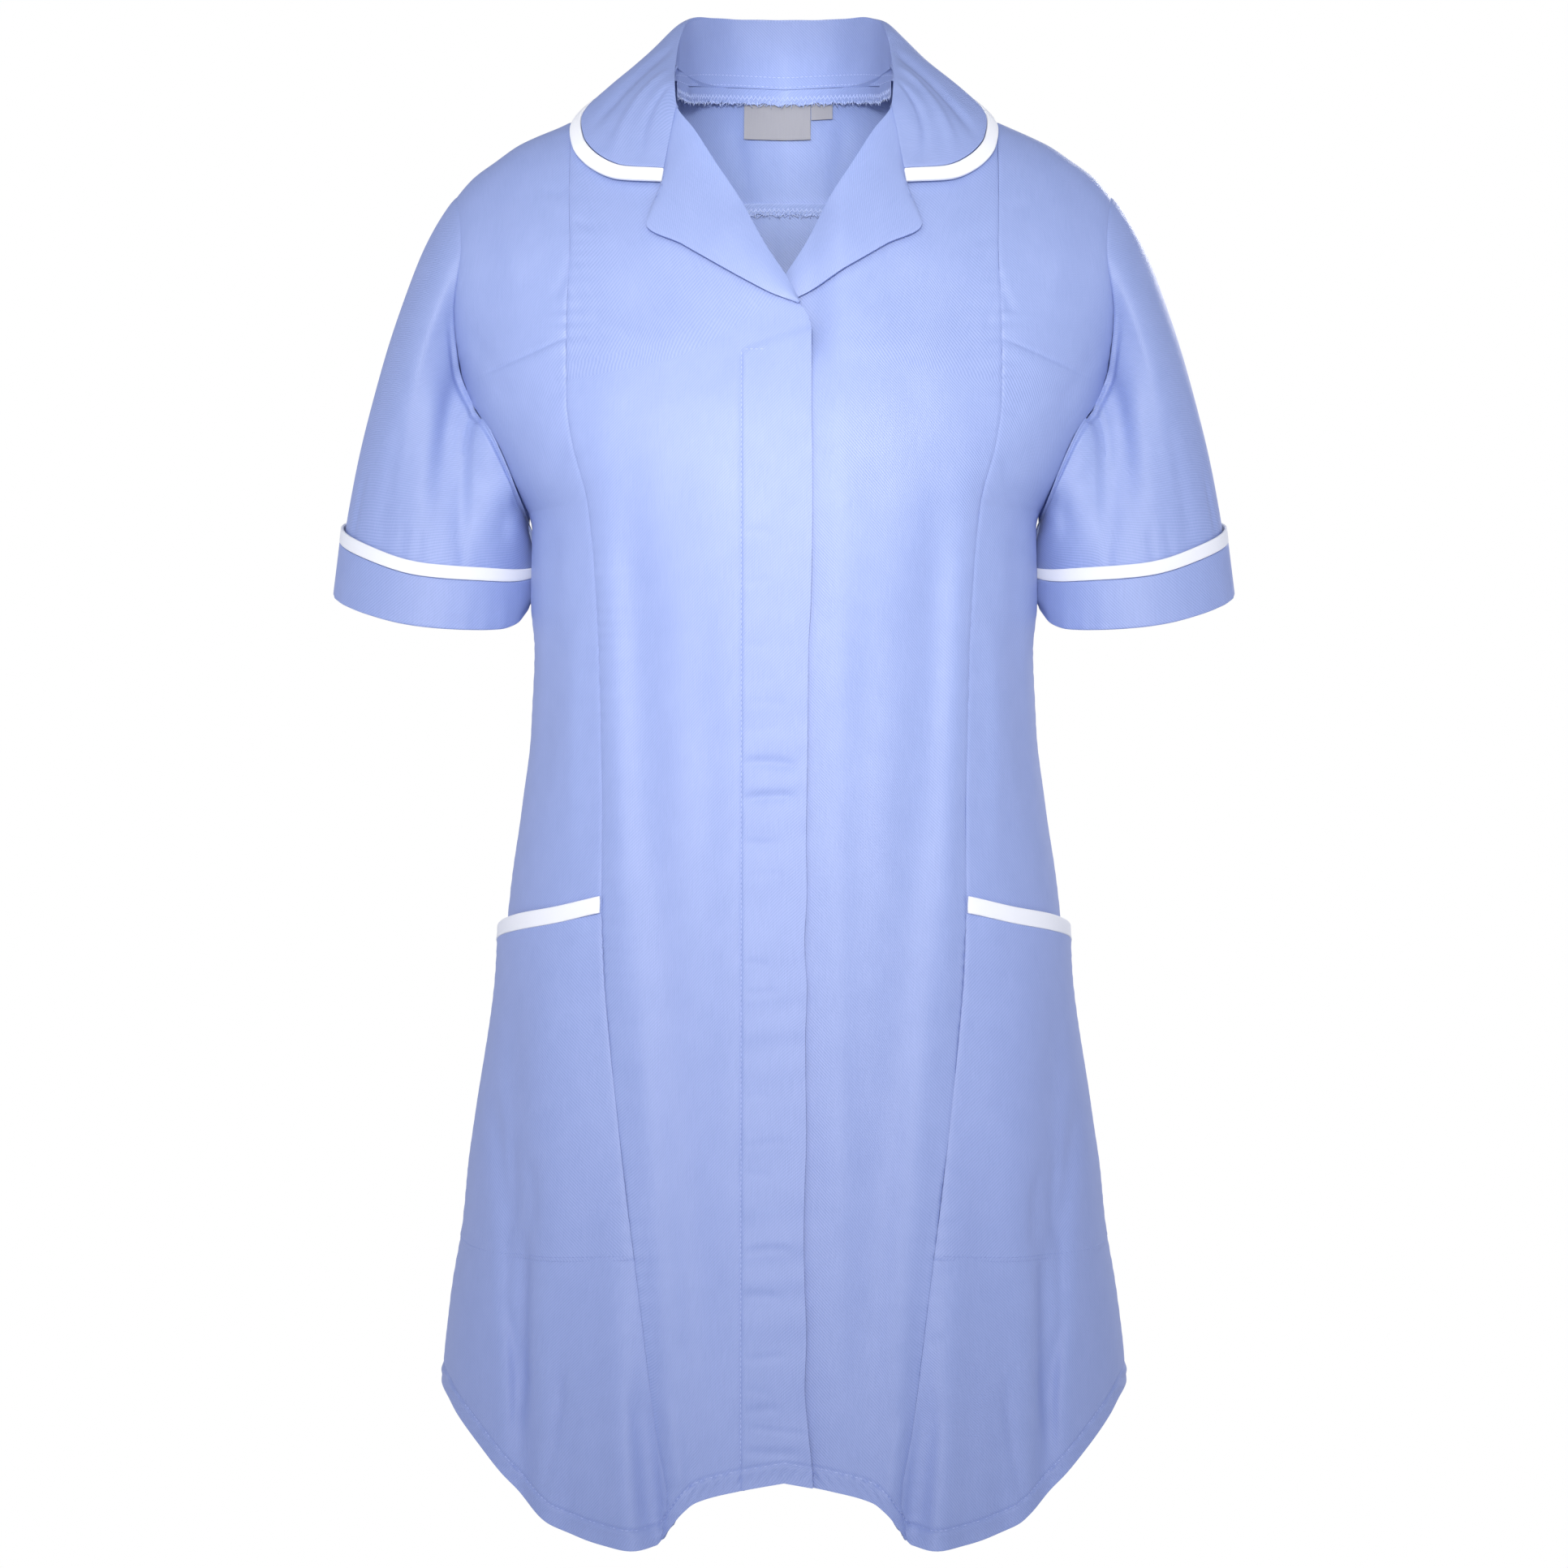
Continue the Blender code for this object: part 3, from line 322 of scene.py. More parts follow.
BACK_CREASES = rows_of(
    Crease,
    (0.0280, -0.0700, 0.0420, -0.1900, 0.004, 0.0070, -0.0012),
    (-0.0360, -0.0720, -0.0480, -0.2100, -0.004, 0.0080, -0.0012),
    (0.1500, -0.1100, 0.1050, -0.2100, 0.006, 0.0080, -0.0014),
    (-0.1540, -0.1150, -0.1080, -0.2250, -0.006, 0.0090, -0.0014),
    (0.1380, -0.3000, 0.0800, -0.3350, 0.008, 0.0080, -0.0014),
    (-0.1360, -0.3100, -0.0720, -0.3380, -0.007, 0.0090, -0.0013),
    (0.0600, -0.3500, -0.0300, -0.3620, 0.006, 0.0090, -0.0011),
    (0.1300, -0.3700, 0.1150, -0.5400, 0.004, 0.0080, 0.0014),
    (-0.1270, -0.3800, -0.1180, -0.5700, -0.004, 0.0090, 0.0013),
    (0.0100, -0.4200, 0.0020, -0.6400, 0.005, 0.0100, 0.0013),
    (0.0760, -0.5200, 0.0680, -0.7600, 0.004, 0.0090, -0.0014),
    (-0.0700, -0.5600, -0.0760, -0.7800, -0.003, 0.0080, -0.0013),
    (0.1660, -0.5600, 0.1600, -0.7200, 0.003, 0.0060, 0.0013),
    (-0.1630, -0.5800, -0.1580, -0.7300, -0.003, 0.0060, 0.0012),
    (0.0350, -0.6400, 0.0400, -0.7900, 0.003, 0.0070, -0.0012),
    (-0.0280, -0.6600, -0.0300, -0.8000, 0.003, 0.0080, 0.0012),
    (-0.0088, -0.0580, -0.0092, -0.1450, 0.000, 0.0016, -0.0008),
    (0.0093, -0.0580, 0.0090, -0.1500, 0.000, 0.0016, -0.0008),
)
YOKE_CREASES = rows_of(
    Crease,
    (-0.0300, -0.0060, -0.0200, -0.0540, 0.002, 0.0045, -0.0013),
    (0.0370, -0.0100, 0.0270, -0.0520, -0.002, 0.0040, -0.0011),
    (0.1200, -0.0300, 0.1450, -0.0800, 0.003, 0.0060, 0.0008),
)

Wave = namedtuple("Wave", "size tightness shift")

# Seams: the cloth rolls in along them, and puckers a little
SEAM_DIP = 0.00045
SEAM_SOFT = 0.0011
PUCKER_REACH = 0.009
PUCKER_LIFT = 0.00032
PUCKER_PITCH = 0.0085
PUCKER_SLOW = Wave(1.7, 61, 0)
PUCKER_FAST = Wave(1.1, 143, 2)
PUCKER_MEAN = 0.6
PUCKER_UNEVEN = Wave(0.4, 37, 1)
SIDE_SEAM_SHARE = 0.4
DART = Crease(0.1221, -0.1539, 0.1722, -0.1722, 0.0006, 0.0011, -0.0007)
DART_PUFF = Crease(0.1221, -0.1590, 0.1700, -0.1775, 0.0010, 0.0050, 0.0006)

# Hems: a band turned under and sewn
HEM_BAND = 0.0108
HEM_PUFF = 0.0006
HEM_GROOVE = 0.0008
HEM_GROOVE_SOFT = 0.0009
HEM_ROPING = 0.00045
HEM_ROPING_PITCH = 0.0062
HEM_ROPING_SLANT = 0.8
HEM_ROPING_WANDER = Wave(1.3, 53, 0)
HEM_THICKNESS = 0.0016
HEM_CORNER = 0.0650
HEM_CORNER_REACH = (0.006, 0.016)

# The left front drops under the right one
UNDERLAP_START = 0.034
UNDERLAP_FULL = 0.012
UNDERLAP_DROP = 0.0028
UNDERLAP_DROP_AT_REVERS = 0.0042
UNDERLAP_LEVELS = (-0.172, -0.146)
PLACKET_LIFT = 0.0005
PLACKET_GROOVE = 0.0006

SETTLING_STEPS = 20
EDGE_SETTLING_STEPS = 60
NORMAL_STEP = 0.0002


# Reading tables
def read(table, at, column=1):
    """A table's column, by name or number, at values of its first: a curve with no overshoot."""
    if isinstance(column, str):
        column = table[0]._fields.index(column)
    keys = np.array([row[0] for row in table], float)
    values = np.array([row[column] for row in table], float)
    at = np.clip(at, keys[0], keys[-1])
    i = np.clip(np.searchsorted(keys, at, side="right") - 1, 0, len(keys) - 2)
    steep = np.diff(values) / np.diff(keys)
    before, after = steep[:-1], steep[1:]
    same_way = before * after > 0
    slopes = np.concatenate((steep[:1], np.zeros(len(keys) - 2), steep[-1:]))
    slopes[1:-1][same_way] = (2 * before * after)[same_way] / (before + after)[same_way]
    span = keys[i + 1] - keys[i]
    t = (at - keys[i]) / span
    rest = 1 - t
    return (
        values[i] * rest * rest * (1 + 2 * t)
        + values[i + 1] * t * t * (3 - 2 * t)
        + slopes[i] * span * t * rest * rest
        - slopes[i + 1] * span * t * t * rest
    )


def mix(start, end, share):
    return start + (end - start) * share


def ease(start, end, value):
    """0 before start, 1 past end, with a soft change between them. Start may be above end."""
    t = np.clip((value - start) / (end - start), 0.0, 1.0)
    return t * t * (3 - 2 * t)


def below(edge, soft, value):
    """1 under an edge, down to 0 over it, with a soft change between them."""
    return ease(edge + soft, edge - soft, value)


def run_out(ends, share):
    """1 along a crease and 0 past it: ends are the shares that it rises and falls between."""
    return ease(*ends[:2], share) * ease(*ends[2:], share)


def bump(distance, spread):
    return np.exp(-((distance / spread) ** 2))


def wave(one, at):
    return one.size * np.sin(at * one.tightness + one.shift)


def curve(start, leave, arrive, end, share):
    """A curve from start to end, drawn towards leave and then arrive."""
    share = share[..., None]
    rest = 1 - share
    return start * rest**3 + leave * 3 * rest**2 * share + arrive * 3 * rest * share**2 + end * share**3


def laid_out(columns, rows, start=0.0, end=1.0):
    """A grid's column and row values. Columns are values, or a count of them from 0 to 1."""
    if isinstance(columns, int):
        columns = np.linspace(0, 1, columns)
    return np.meshgrid(columns, np.linspace(start, end, rows))


def places(across, depth, height):
    return np.stack(np.broadcast_arrays(across, depth, height), axis=-1).astype(float)


def unit(vectors):
    return vectors / np.maximum(np.linalg.norm(vectors, axis=-1, keepdims=True), 1e-12)


# The form
def shoulder_line(across):
    return read(SHOULDER_LINE, np.abs(across))


def half_width(height):
    return read(SECTIONS, height, "half_width")


def folds(across, height, face):
    total = 0.0
    for fold in FRONT_FOLDS if face == FRONT else BACK_FOLDS:
        share = np.clip((fold.top - height) / (fold.top - fold.low), 0, 1)
        middle = mix(fold.across_top, fold.across_low, share)
        fade_in = ease(fold.top, fold.top - FOLD_RUN_OUT, height)
        fade_out = ease(fold.low, fold.low + FOLD_RUN_OUT, height)
        lift = mix(fold.lift_top, fold.lift_low, share)
        total = total + lift * fade_in * fade_out * bump(np.abs(across) - middle, fold.spread)
    return total


def full_depth(across, height, face):
    return read(SECTIONS, height, FACE_COLUMN[face]) + folds(across, height, face)


def closing(across, height):
    """1 below the underarm, down to 0 on the shoulder line."""
    rise = (height - UNDERARM) / (shoulder_line(across) - UNDERARM)
    return 1 - np.maximum(rise, 0.0) ** CLOSING


def roundness(across, height):
    """1 on the centre line, down to 0 at the side, where it turns negative."""
    left = 1 - (np.abs(across) / half_width(height)) ** ROUNDNESS
    return np.sign(left) * np.abs(left) ** (2 / ROUNDNESS)


def off_form(across, depth, height, face):
    """0 on the form, above 0 outside it."""
    share = depth / full_depth(across, height, face)
    return share**2 - closing(across, height) * roundness(across, height)


def form_depth(across, height, face):
    swell = np.maximum(closing(across, height), 0.0) * np.maximum(roundness(across, height), 0.0)
    return face * full_depth(across, height, face) * np.sqrt(swell)


def form_normal(across, depth, height, face):
    slopes = []
    for axis in range(3):
        here = [across, depth, height]
        there = [across, depth, height]
        here[axis] = here[axis] + NORMAL_STEP
        there[axis] = there[axis] - NORMAL_STEP
        slopes.append(off_form(*here, face) - off_form(*there, face))
    return unit(places(*slopes))


def on_form(across, height, face, lift=0.0):
    """Places of the form on the front or the back, moved out by lift."""
    depth = form_depth(across, height, face)
    normal = form_normal(across, depth, height, face)
    return places(across, depth + face * HALF_SEAM, height) + normal * np.asarray(lift)[..., None]


def normal_at(across, height, face):
    return form_normal(across, form_depth(across, height, face), height, face)


def skin_of(relief, face, *options):
    """The outer skin that a relief gives one face of the form."""
    def skin(across, height):
        return on_form(across, height, face, relief(across, height, *options))
    return skin


def turn(across, height):
    """The place round the form, as an angle from its centre line."""
    share = np.minimum(np.abs(across) / half_width(height), 1.0)
    return np.sign(across) * np.arcsin(share ** (ROUNDNESS / 2))


def across_at(angle, height):
    return np.sign(angle) * half_width(height) * np.abs(np.sin(angle)) ** (2 / ROUNDNESS)


# Creases and ripples
CREASE_ENDS = (-0.12, 0.25, 1.12, 0.75)
RIPPLE = 0.00026
RIPPLE_SEED = 11
RIPPLE_COUNT = 14
RIPPLE_LENGTHS = (0.024, 0.085)
RIPPLE_SQUASH = 0.6
_random = np.random.default_rng(RIPPLE_SEED)
RIPPLES = [
    (_random.uniform(0, TURN), TURN / _random.uniform(*RIPPLE_LENGTHS), _random.uniform(0, TURN))
    for _ in range(RIPPLE_COUNT)
]


def beside_line(one_way, other_way, to_one_way, to_other_way):
    """The share along a line and the distance beside it, all measured from the line's start."""
    way = np.array((to_one_way, to_other_way))
    length = float(np.hypot(*way))
    way = way / length
    return (one_way * way[0] + other_way * way[1]) / length, one_way * way[1] - other_way * way[0]


def crease(one, across, height):
    """How much one crease lifts the cloth at these places."""
    share, sideways = beside_line(
        across - one.across, height - one.height, one.to_across - one.across, one.to_height - one.height
    )
    bow = 4 * one.bow * share * (1 - share)
    return one.lift * run_out(CREASE_ENDS, share) * bump(sideways - bow, one.spread)


def creases(table, across, height):
    return sum(crease(one, across, height) for one in table)


def ripple(one_way, other_way, lift):
    """The faint unevenness of worn cloth."""
    total = 0.0
    for way, tightness, shift in RIPPLES:
        run = one_way * math.cos(way) + other_way * math.sin(way) * RIPPLE_SQUASH
        total = total + np.sin(run * tightness + shift)
    return lift * total / math.sqrt(RIPPLE_COUNT)


def pucker(along, away, pitch=PUCKER_PITCH, lift=PUCKER_LIFT, reach=PUCKER_REACH):
    """Small uneven gathers that a line of sewing leaves beside it."""
    phase = TURN * along / pitch + wave(PUCKER_SLOW, along) + wave(PUCKER_FAST, along)
    strength = PUCKER_MEAN + wave(PUCKER_UNEVEN, along)
    return lift * strength * np.sin(phase) * np.exp(-np.abs(away) / reach)


def seam_roll(away):
    return -SEAM_DIP * bump(away, SEAM_SOFT)


def hem_relief(above, along):
    """The turned band over its lower edge: above is the distance up from the edge."""
    inside = below(HEM_BAND, HEM_GROOVE_SOFT, above)
    groove = bump(above - HEM_BAND, HEM_GROOVE_SOFT)
    slant = TURN * (along + above * HEM_ROPING_SLANT) / HEM_ROPING_PITCH + wave(HEM_ROPING_WANDER, along)
    off_corner = ease(*HEM_CORNER_REACH, np.abs(np.abs(along) - HEM_CORNER))
    roping = HEM_ROPING * np.sin(slant) * ease(0.0, HEM_BAND / 2, above) * inside * off_corner
    return HEM_PUFF * inside - HEM_GROOVE * groove + roping


# Panel edges
YOKE_SEAM_AT_CENTRE = -0.056
YOKE_SEAM_DROP = 0.042
YOKE_NECK_DIP = 0.0035
YOKE_NECK_CURVE = 6
SIDE_NECK = 0.062
YOKE_CURVE = 2
YOKE_INSET_CURVE = 4
HALF_SEAM = -0.00005


def yoke_seam(across):
    return YOKE_SEAM_AT_CENTRE - YOKE_SEAM_DROP * (across / ARMHOLE[-1].across) ** 2


def hem_height(across, face):
    return read(HEM, np.abs(across), FACE_COLUMN[face])


def panel_level(row, across, face, top):
    """The height of a panel's row: -1 at the hem, 0 at the underarm and 1 at the top."""
    low = mix(UNDERARM, hem_height(across, face), -row)
    return np.where(row <= 0, low, mix(UNDERARM, top, row))


def front_level(row, across):
    return panel_level(row, across, FRONT, shoulder_line(across))


def back_level(row, across):
    return panel_level(row, across, BACK, yoke_seam(across) - HALF_SEAM)


def line_edge(line, level):
    """Where each row of a panel ends on a line of the form."""
    def end(row):
        height = level(row, line(UNDERARM))
        for _ in range(EDGE_SETTLING_STEPS):
            height = mix(height, level(row, line(height)), 0.5)
        return line(height), height
    return end


def princess_line(height):
    return read(PRINCESS_SEAM, height)


def side_line(height):
    return np.where(height > UNDERARM, read(ARMHOLE, height), half_width(height))


def roll_line(height):
    return read(ROLL_AND_NECK, height)


def underlap_drop(across, height):
    deepest = UNDERLAP_DROP + UNDERLAP_DROP_AT_REVERS
    drop = mix(UNDERLAP_DROP, deepest, ease(*UNDERLAP_LEVELS, height))
    return drop * ease(UNDERLAP_START, UNDERLAP_FULL, across)


def straight_between(start, end, level, share, row):
    across = mix(start(row)[0], end(row)[0], share)
    return across, level(row, across)


def settled(angle, height, level, row):
    """The place on a panel's row at an angle round the form, from a first height."""
    for _ in range(SETTLING_STEPS):
        across = across_at(angle, height)
        height = level(row, across)
    return across, height


def round_between(start, end, level, share, row):
    """Places between two edges, evenly by angle round the form."""
    start, end = start(row), end(row)
    angle = mix(turn(*start), turn(*end), share)
    return settled(angle, mix(start[1], end[1], share), level, row)


def evenly(low, high, step, place):
    """Values from low to high that lie about a step apart along the line that place gives."""
    at = low + (high - low) * (1 - np.cos(np.linspace(0, np.pi, EVEN_SAMPLES))) / 2
    line = np.reshape(place(at), (-1, 3))
    run = run_along(line)
    return np.interp(np.linspace(0, run[-1], max(3, round(run[-1] / step) + 1)), run, at)


def run_along(line):
    return np.concatenate(([0.0], np.cumsum(np.linalg.norm(np.diff(line, axis=0), axis=1))))


def rows_and_columns(rows, columns):
    return rows[:, None], columns[None, :]


def closer_at_hem(rows, *extra):
    """Adds rows a millimetre apart over the hem band, and any extra ones."""
    band = np.linspace(-1, -1 + HEM_ROWS_SHARE, HEM_ROWS)
    return np.unique(np.round(np.concatenate((rows[rows > band[-1]], band, *extra)), ROW_DIGITS))


def closer_at_seams(columns, start=True, end=True):
    """Adds columns close to a panel's first and last edge, where the seams roll in."""
    near = np.array(SEAM_COLUMNS)
    added = [columns, near if start else [], 1 - near if end else []]
    return np.unique(np.concatenate(added))


# Materials

WEAVE_SETTINGS = ("Rib pitch", "Rib", "Yarns", "Mottle")
YARN_TIGHTNESS = (1600.0, 70.0)
MOTTLE_TIGHTNESS = 55.0
SHEEN_ROUGHNESS = 0.5
# Where a colour mix has its share, its two colours and its result
MIX_SHARE, MIX_START, MIX_END, MIX_RESULT = 0, 6, 7, 2


def feed(tree, made, inputs):
    """Links a node's inputs, or sets them."""
    for key, value in inputs.items():
        if isinstance(value, bpy.types.NodeSocket):
            tree.links.new(value, made.inputs[key])
        else:
            made.inputs[key].default_value = value


def node(tree, kind, inputs=None, **settings):
    made = tree.nodes.new(kind)
    for key, value in settings.items():
        setattr(made, key, value)
    feed(tree, made, inputs or {})
    return made


def sums(tree, operation, *values):
    return node(tree, "ShaderNodeMath", dict(enumerate(values)), operation=operation).outputs[0]


def colour_between(tree, share, start, end):
    inputs = {MIX_SHARE: share, MIX_START: (*start, 1), MIX_END: (*end, 1)}
    return node(tree, "ShaderNodeMix", inputs, data_type="RGBA").outputs[MIX_RESULT]


def noise(tree, place, tightness, detail):
    """Noise around 0."""
    inputs = {"Vector": place, "Scale": tightness, "Detail": detail}
    return sums(tree, "SUBTRACT", node(tree, "ShaderNodeTexNoise", inputs).outputs[0], 0.5)


def twill_weave():
    """Diagonal ribs, uneven yarns along the warp, and a broad mottle."""
    group = bpy.data.node_groups.new("twill weave", "ShaderNodeTree")
    group.interface.new_socket("Grain", in_out="INPUT", socket_type="NodeSocketVector")
    for name in WEAVE_SETTINGS:
        group.interface.new_socket(name, in_out="INPUT", socket_type="NodeSocketFloat")
    for name in ("Tone", "Relief"):
        group.interface.new_socket(name, in_out="OUTPUT", socket_type="NodeSocketFloat")
    given = node(group, "NodeGroupInput").outputs
    across, along, _ = node(group, "ShaderNodeSeparateXYZ", {0: given["Grain"]}).outputs
    tightness = sums(group, "DIVIDE", TURN, given["Rib pitch"])
    slanted = sums(group, "ADD", across, along)
    ribs = sums(group, "SINE", sums(group, "MULTIPLY", slanted, tightness))
    stretched = [sums(group, "MULTIPLY", *pair) for pair in zip((across, along), YARN_TIGHTNESS)]
    yarn_place = node(group, "ShaderNodeCombineXYZ", dict(enumerate(stretched))).outputs[0]
    rib_part = sums(group, "MULTIPLY", ribs, sums(group, "MULTIPLY", given["Rib"], 0.5))
    yarn_part = sums(group, "MULTIPLY", noise(group, yarn_place, 1.0, 2.0), given["Yarns"])
    mottle = noise(group, given["Grain"], MOTTLE_TIGHTNESS, 3.0)
    mottle_part = sums(group, "MULTIPLY", mottle, given["Mottle"])
    relief = sums(group, "ADD", rib_part, yarn_part)
    tone = sums(group, "ADD", 0.5, sums(group, "ADD", relief, mottle_part))
    put_out = node(group, "NodeGroupOutput", {"Tone": tone, "Relief": relief})
    put_out.is_active_output = True
    return group


WEAVE = twill_weave()
Cloth = namedtuple("Cloth", "dark light roughness shine sheen rib_pitch rib yarns mottle relief")
CLOTHS = {
    "tunic cloth": Cloth(
        (0.222, 0.298, 0.598), (0.324, 0.404, 0.728), 0.58, 1.00, 0.03, 0.0018, 0.5, 0.6, 0.4, 0.00015
    ),
    "white binding": Cloth(
        (0.80, 0.82, 0.87), (0.90, 0.91, 0.94), 0.80, 0.30, 0.10, 0.0008, 0.4, 0.3, 0.3, 0.00008
    ),
    "label cloth": Cloth(
        (0.320, 0.312, 0.345), (0.430, 0.420, 0.450), 0.75, 0.30, 0.05, 0.0006, 0.5, 0.3, 0.2, 0.00005
    ),
    "sewing thread": Cloth(
        (0.42, 0.50, 0.80), (0.55, 0.63, 0.90), 0.60, 0.40, 0.05, 0.0004, 0.4, 0.3, 0.2, 0.00002
    ),
}


def cloth_material(name):
    kind = CLOTHS[name]
    made = bpy.data.materials.new(name.replace(" ", "_"))
    made.use_nodes = True
    tree = made.node_tree
    if name == "sewing thread":
        grain = node(tree, "ShaderNodeTexCoord").outputs["Object"]
    else:
        grain = node(tree, "ShaderNodeUVMap", uv_map="grain").outputs[0]
    settings = {socket: getattr(kind, socket.lower().replace(" ", "_")) for socket in WEAVE_SETTINGS}
    weave = node(tree, "ShaderNodeGroup", node_tree=WEAVE)
    feed(tree, weave, {"Grain": grain, **settings})
    relief = node(tree, "ShaderNodeBump", {"Height": weave.outputs["Relief"], "Distance": kind.relief})
    feed(tree, tree.nodes["Principled BSDF"], {
        "Base Color": colour_between(tree, weave.outputs["Tone"], kind.dark, kind.light),
        "Normal": relief.outputs[0],
        "Roughness": kind.roughness,
        "Sheen Weight": kind.sheen,
        "Sheen Roughness": SHEEN_ROUGHNESS,
        "Specular IOR Level": kind.shine,
    })
    return made


CLOTH_FINISH = cloth_material("tunic cloth")
TRIM_FINISH = cloth_material("white binding")
LABEL_FINISH = cloth_material("label cloth")
THREAD_FINISH = cloth_material("sewing thread")


# Shells

RIM = 0.00022
RIM_SEGMENTS = 2
RIM_ANGLE = math.radians(50)
HEM_ROWS_SHARE = 0.027
HEM_ROWS = 16
ROW_DIGITS = 6
SEAM_COLUMNS = (0.004, 0.009, 0.016)
DART_ROWS = np.linspace(0.33, 0.50, 40)
EVEN_SAMPLES = 600
MERGE = 1e-6
SEAM = 0.0001


def grid_normals(points, tube, middle):
    """Normals of a grid of points, away from middle."""
    if tube:
        ring = points[:, :-1]
        along = np.roll(ring, -1, axis=1) - np.roll(ring, 1, axis=1)
        along = np.concatenate((along, along[:, :1]), axis=1)
    else:
        along = np.gradient(points, axis=1)
    normals = unit(np.cross(along, np.gradient(points, axis=0)))
    outwards = ((points - middle) * normals).sum(axis=-1).mean()
    return normals if outwards > 0 else -normals


def grain_of(points):
    """Each place's distance across and along its cut piece, in metres."""
    across = np.cumsum(np.linalg.norm(np.diff(points, axis=1), axis=-1), axis=1)
    along = np.cumsum(np.linalg.norm(np.diff(points, axis=0), axis=-1), axis=0)
    across = np.pad(across, ((0, 0), (1, 0)))
    along = np.pad(along, ((1, 0), (0, 0)))
    middle_row, middle_column = points.shape[0] // 2, points.shape[1] // 2
    return np.stack((across - across[:, middle_column, None], along - along[middle_row]), axis=-1)


def added(name, data):
    """A new object in the scene."""
    made = bpy.data.objects.new(name, data)
    bpy.context.scene.collection.objects.link(made)
    return made


def shell(
    name, points, thickness, material=CLOTH_FINISH, middle=None, tube=False, turned_over=False, rim=RIM
):
    """A closed cloth wall whose outer skin is a grid of points, with a rounded rim."""
    if tube:
        points[:, -1] = points[:, 0]
    if middle is None:
        middle = np.array((0.0, 0.0, points[..., 2].mean()))
    normals = grid_normals(points, tube, middle)
    inner = points - normals * np.broadcast_to(thickness, points.shape[:2])[..., None]
    skins = np.stack((inner, points))
    if turned_over:
        skins[..., 0] *= -1
    rows, columns = points.shape[:2]
    grid = bmesh.new()
    bmesh.ops.create_grid(grid, x_segments=columns - 1, y_segments=rows - 1, size=1)
    raised = bmesh.ops.extrude_face_region(grid, geom=grid.faces[:])["geom"]
    outer = [part for part in raised if isinstance(part, bmesh.types.BMVert)]
    bmesh.ops.translate(grid, verts=outer, vec=(0, 0, 1))
    if tube:
        # The two end walls go: all four corners of their faces are at one end of the flat grid
        ends = [face for face in grid.faces if abs(sum(vert.co.x for vert in face.verts)) > 4 - 1 / columns]
        bmesh.ops.delete(grid, geom=ends, context="FACES")
    data = bpy.data.meshes.new(name)
    grid.to_mesh(data)
    grid.free()
    place_on_grid(data, skins, grain_of(points))
    finish_shell(data, rim)
    data.materials.append(material)
    return added(name, data)


def place_on_grid(data, skins, grain):
    """Moves a flat grid's two layers to the inner and outer skin, and gives it its grain."""
    flat = np.empty(len(data.vertices) * 3)
    data.vertices.foreach_get("co", flat)
    flat = flat.reshape(-1, 3)
    rows, columns = grain.shape[:2]
    column = np.rint((flat[:, 0] + 1) / 2 * (columns - 1)).astype(int)
    row = np.rint((flat[:, 1] + 1) / 2 * (rows - 1)).astype(int)
    layer = (flat[:, 2] > 0.5).astype(int)
    data.vertices.foreach_set("co", skins[layer, row, column].ravel())
    corners = np.empty(len(data.loops), dtype=np.int32)
    data.loops.foreach_get("vertex_index", corners)
    data.uv_layers.new(name="grain").uv.foreach_set("vector", grain[row, column][corners].ravel())


def finish_shell(data, rim):
    mesh = bmesh.new()
    mesh.from_mesh(data)
    bmesh.ops.remove_doubles(mesh, verts=mesh.verts[:], dist=MERGE)
    bmesh.ops.recalc_face_normals(mesh, faces=mesh.faces[:])
    if mesh.calc_volume(signed=True) < 0:
        bmesh.ops.reverse_faces(mesh, faces=mesh.faces[:])
    edges = [edge for edge in mesh.edges if edge.is_manifold and edge.calc_face_angle() > RIM_ANGLE]
    if rim and edges:
        bmesh.ops.bevel(
            mesh,
            geom=edges,
            offset=rim,
            affect="EDGES",
            segments=RIM_SEGMENTS,
            profile=0.5,
            material=-1,
            clamp_overlap=True,
        )
    mesh.to_mesh(data)
    mesh.free()
    data.update()
    data.shade_smooth()
    data.set_sharp_from_angle(angle=RIM_ANGLE)


# Sewing

Thread = namedtuple("Thread", "pitch length slant uneven")
STITCH = Thread(0.0028, 0.0022, 0.0, 0.0)
OVERLOCK = Thread(0.0014, 0.0050, 0.95, 0.15)
FRAY = Thread(0.0016, 0.0044, 1.25, 0.6)
STITCH_RADIUS = 0.00028
STITCH_SUNK = 0.00004
UNEVEN_STEP = 2.4
SEWN_LINE_STEPS = 260


